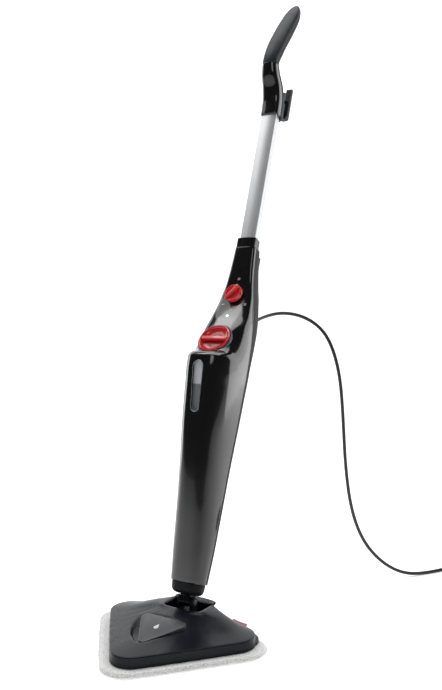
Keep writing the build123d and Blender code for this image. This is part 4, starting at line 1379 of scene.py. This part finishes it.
@dataclass
class FloorHead:
    """Head shell with its badge recess, badge, terry pad and tag."""

    shop: Workshop
    pad: Delta = Delta(166, -212, 40, 46, 45, 16)
    rim: Delta = Delta(143, -190, 33, 36, 38, 16)
    mid: Delta = Delta(112, -138, 27, 26, 30, 12)
    top: Delta = Delta(60, -52, 21, 24, 22)
    badge: Delta = Delta(44, -45, 28, 9, 10)
    badge_at: tuple[float, float, float] = (0, -88, 36.2)
    badge_slope: float = 12.5

    def badge_place(self) -> Matrix:
        """Frame of the badge."""
        return Matrix.Translation(self.badge_at) @ Matrix.Rotation(math.radians(self.badge_slope), 4, "X")

    def pocket_reach(self, angle: float) -> float:
        """Distance from the shell's centre to the rounded pocket's edge."""
        c, s = math.cos(angle), math.sin(angle)
        half_x, half_y = 37.0, 26.7
        return (abs(c / half_x) ** 7 + abs(s / half_y) ** 7) ** (-1 / 7)

    def shell(self) -> None:
        """Skirt, dome and pocket walls in one surface."""
        centre = (0.0, 4.7)
        count = 144
        angles = [2 * math.pi * i / count for i in range(count + 1)]
        outlines = (self.rim, self.mid, self.top)
        reaches = [[d.reach(centre, a) for d in outlines] + [self.pocket_reach(a)] for a in angles]
        inverse = self.badge_place().inverted()

        def point(across: float, along: float) -> Vector:
            """Point on the shell."""
            i = int(round(across * count))
            rim, mid, top, pocket = reaches[i]
            angle = angles[i]
            if along < 0.14:
                share = along / 0.14
                radius, height = rim + 0.8 * (1 - share), 9 + 16.0 * share
            elif along < 0.2:
                share = (along - 0.14) / 0.06
                radius, height = rim - 1.3 * share, 25.0 + 1.3 * share
            elif along < 0.93:
                rows = SmoothRows([(0.2, rim - 1.6, 26.4), (0.45, mid, 31.5), (0.74, top, 45.6),
                                   (0.86, pocket + 4.5, 48.4), (0.93, pocket + 0.6, 48.0)])
                radius, height = rows.value(along)
            else:
                radius, height = pocket - 0.2, 47.5 - (along - 0.93) / 0.07 * 24
            x, y = centre[0] + radius * math.cos(angle), centre[1] + radius * math.sin(angle)
            if 0.2 < along < 0.93:
                height -= self.recess(inverse @ Vector((x, y, height)))
            return Vector((x, y, height))

        bm = surface(count, 76, point, True)
        face_away(bm, Vector((0, -60, 15)))
        shell = self.shop.piece(bm, "head_cover", "head_black", Matrix.Identity(4), 50)
        smooth = shell.modifiers.new("smooth", "SUBSURF")
        smooth.levels = smooth.render_levels = 1
        self.shop.thicken(shell, 2.2)
        shell.modifiers["wall"].use_even_offset = False
        self.shop.mount(shell, Body.HEAD, "head_shell", "badge_bezel")

    def recess(self, local: Vector) -> float:
        """Depth of the badge's recess at a point, deeper and wider on its left."""
        distance = math.hypot(local.x, local.y + 3)
        angle = math.atan2(local.y + 3, local.x)
        edge = self.badge.reach((0, -3), angle)
        left = max(0.0, -math.cos(angle - math.radians(12)))
        width = 3.4 + 14.0 * left
        share = (distance - edge) / width
        if share > 1:
            return 0.0
        bank = min(1.0, (1 - share) / (0.9 - 0.6 * left)) if share > 0 else 1.0
        bank = bank * bank * (3 - 2 * bank)
        return bank * max(0.0, local.z + 1.0 + 7.0 * left)

    def badge_plate(self) -> None:
        """Grey plate in the recess, with a generic drop on it."""
        count = 96
        outline = []
        for i in range(count):
            angle = 2 * math.pi * i / count
            radius = self.badge.reach((0, -3), angle)
            outline.append((radius * math.cos(angle), -3 + radius * math.sin(angle)))
        bm = plate(outline, -7.5, 3.0, 1.1)
        badge = self.shop.piece(bm, "badge_plate", "badge_grey", self.badge_place())
        self.shop.mount(badge, Body.HEAD, "head_badge")
        drop = []
        for i in range(40):
            angle = 2 * math.pi * i / 40
            high = math.sin(angle)
            pull, pinch = 1 + 0.9 * max(0.0, high) ** 6, 1.0 if high < 0.4 else 0.9
            drop.append((4.2 * math.cos(angle) * pinch, -2 + 4.4 * high * pull))
        mark = plate(drop, 2.9, 3.25, 0.1)
        self.shop.mount(self.shop.piece(mark, "badge_drop", "white_plastic", self.badge_place()), Body.HEAD)

    def mop_pad(self) -> None:
        """Soft terry pad: a crowned edge roll."""
        centre = (0.0, -50.0)
        count = 420
        angles = [2 * math.pi * i / count for i in range(count + 1)]
        edges = [self.pad.reach(centre, a) for a in angles]
        profile = SmoothRows([
            (0.0, 1.0, 7.9), (0.22, 0.78, 7.9), (0.34, 0.12, 8.0), (0.42, 0.085, 8.3), (0.50, 0.055, 9.0),
            (0.56, 0.028, 8.6), (0.62, 0.008, 6.4), (0.67, 0.0, 4.0), (0.72, 0.008, 1.6), (0.78, 0.03, 0.25),
            (0.84, 0.12, 0.02), (1.0, 1.0, 0.0),
        ])

        def point(across: float, along: float) -> Vector:
            """Point on the pad."""
            i = int(round(across * count)) % count
            back, height = profile.value(along)
            radius = edges[i] * (1 - back)
            x, y = centre[0] + radius * math.cos(angles[i]), centre[1] + radius * math.sin(angles[i])
            if 0.3 < along < 0.82:
                here = Vector((x, y, height))
                soft = noise.noise(Vector((x, y, 0)) * 0.028) * 1.6
                soft += noise.noise(Vector((x, y, 7)) * 0.09) * 0.7
                tuft = abs(noise.noise(here * 0.42)) * 1.3 + noise.noise(here * 0.9) * 0.5
                share = min(1.0, (along - 0.3) / 0.1, (0.82 - along) / 0.06)
                radius += (soft * 0.8 + tuft * 0.8 - 1.4) * share
                if height > 3 and along > 0.38:
                    height += (tuft * 0.7 + soft * 0.35 - 0.2) * share
                x, y = centre[0] + radius * math.cos(angles[i]), centre[1] + radius * math.sin(angles[i])
            return Vector((x, y, max(0.0, height)))

        bm = surface(count, 84, point, True)
        pad = self.shop.piece(bm, "terry_pad", "pad_fabric", Matrix.Identity(4), 180)
        self.shop.mount(pad, Body.HEAD, "cleaning_pad")

    def tag(self) -> None:
        """Short sewn tab at the pad's rear edge."""
        rise, length = math.radians(58), 22.0

        def leaf(across: float, along: float) -> Vector:
            """A gently waved strip."""
            x = 66 + 32 * across
            out = length * along
            edge = 29.6 - 0.155 * (x - 82)
            y = edge + out * math.cos(rise) + 0.7 * math.sin(5 * across + 2 * along)
            return Vector((x, y, 3.4 + out * math.sin(rise) - 1.5 * across * along))

        bm = surface(20, 20, leaf)
        piece = self.shop.piece(bm, "sewn_tab", "tag_fabric", Matrix.Identity(4), 60)
        self.shop.thicken(piece, 0.8)
        self.shop.mount(piece, Body.HEAD, "pad_tag")

    def build(self) -> None:
        """Makes the head's visible pieces."""
        self.shell()
        self.badge_plate()
        self.mop_pad()
        self.tag()


DRESSING: dict[str, tuple[str, ...]] = {
    "grey_satin": ("sole_plate", "swivel_bracket", "hinge_cradle"),
    "head_black": ("neck", "lower_cord_hook", "hook_bracket", "upper_cord_hook"),
    "black_gloss": ("top_collar",),
    "hook_fabric": ("grip_strips",),
    "brass": ("steam_nozzles",),
    "white_plastic": ("steam_manifold", "knob_shaft", "dial_switch"),
    "steel": ("sole_screws", "swivel_pin", "tilt_pin", "plug_pins", "housing_screws", "pump", "thermostat",
              "tube_latch", "hook_pivot", "handle_screws"),
    "silicone": ("joint_hose", "suction_hose", "pressure_hose", "steam_hose"),
    "tank_clear": ("water_tank", "filler_neck"),
    "seal_rubber": ("cap_seal", "pump_mount"),
    "red_gloss": ("cap_plug",),
    "board_green": ("control_board",),
    "boiler_cast": ("boiler",),
    "tube_silver": ("extension_tube",),
    "led_white": ("led_lens",),
}


def main() -> None:
    """Builds the studio, the cord and then the mop."""
    logging.basicConfig(level=logging.INFO)
    shop = Workshop()
    studio = Studio()
    studio.camera()
    MainsCord(shop).build()
    studio.floor()
    studio.lights()
    StickHousing(shop).build()
    BaseCap(shop).build()
    TankCap(shop).build()
    SteamDial(shop).build()
    Handle(shop).build()
    FloorHead(shop).build()
    for slot, nodes in DRESSING.items():
        shop.dress(slot, *nodes)


if __name__ == "__main__":
    main()
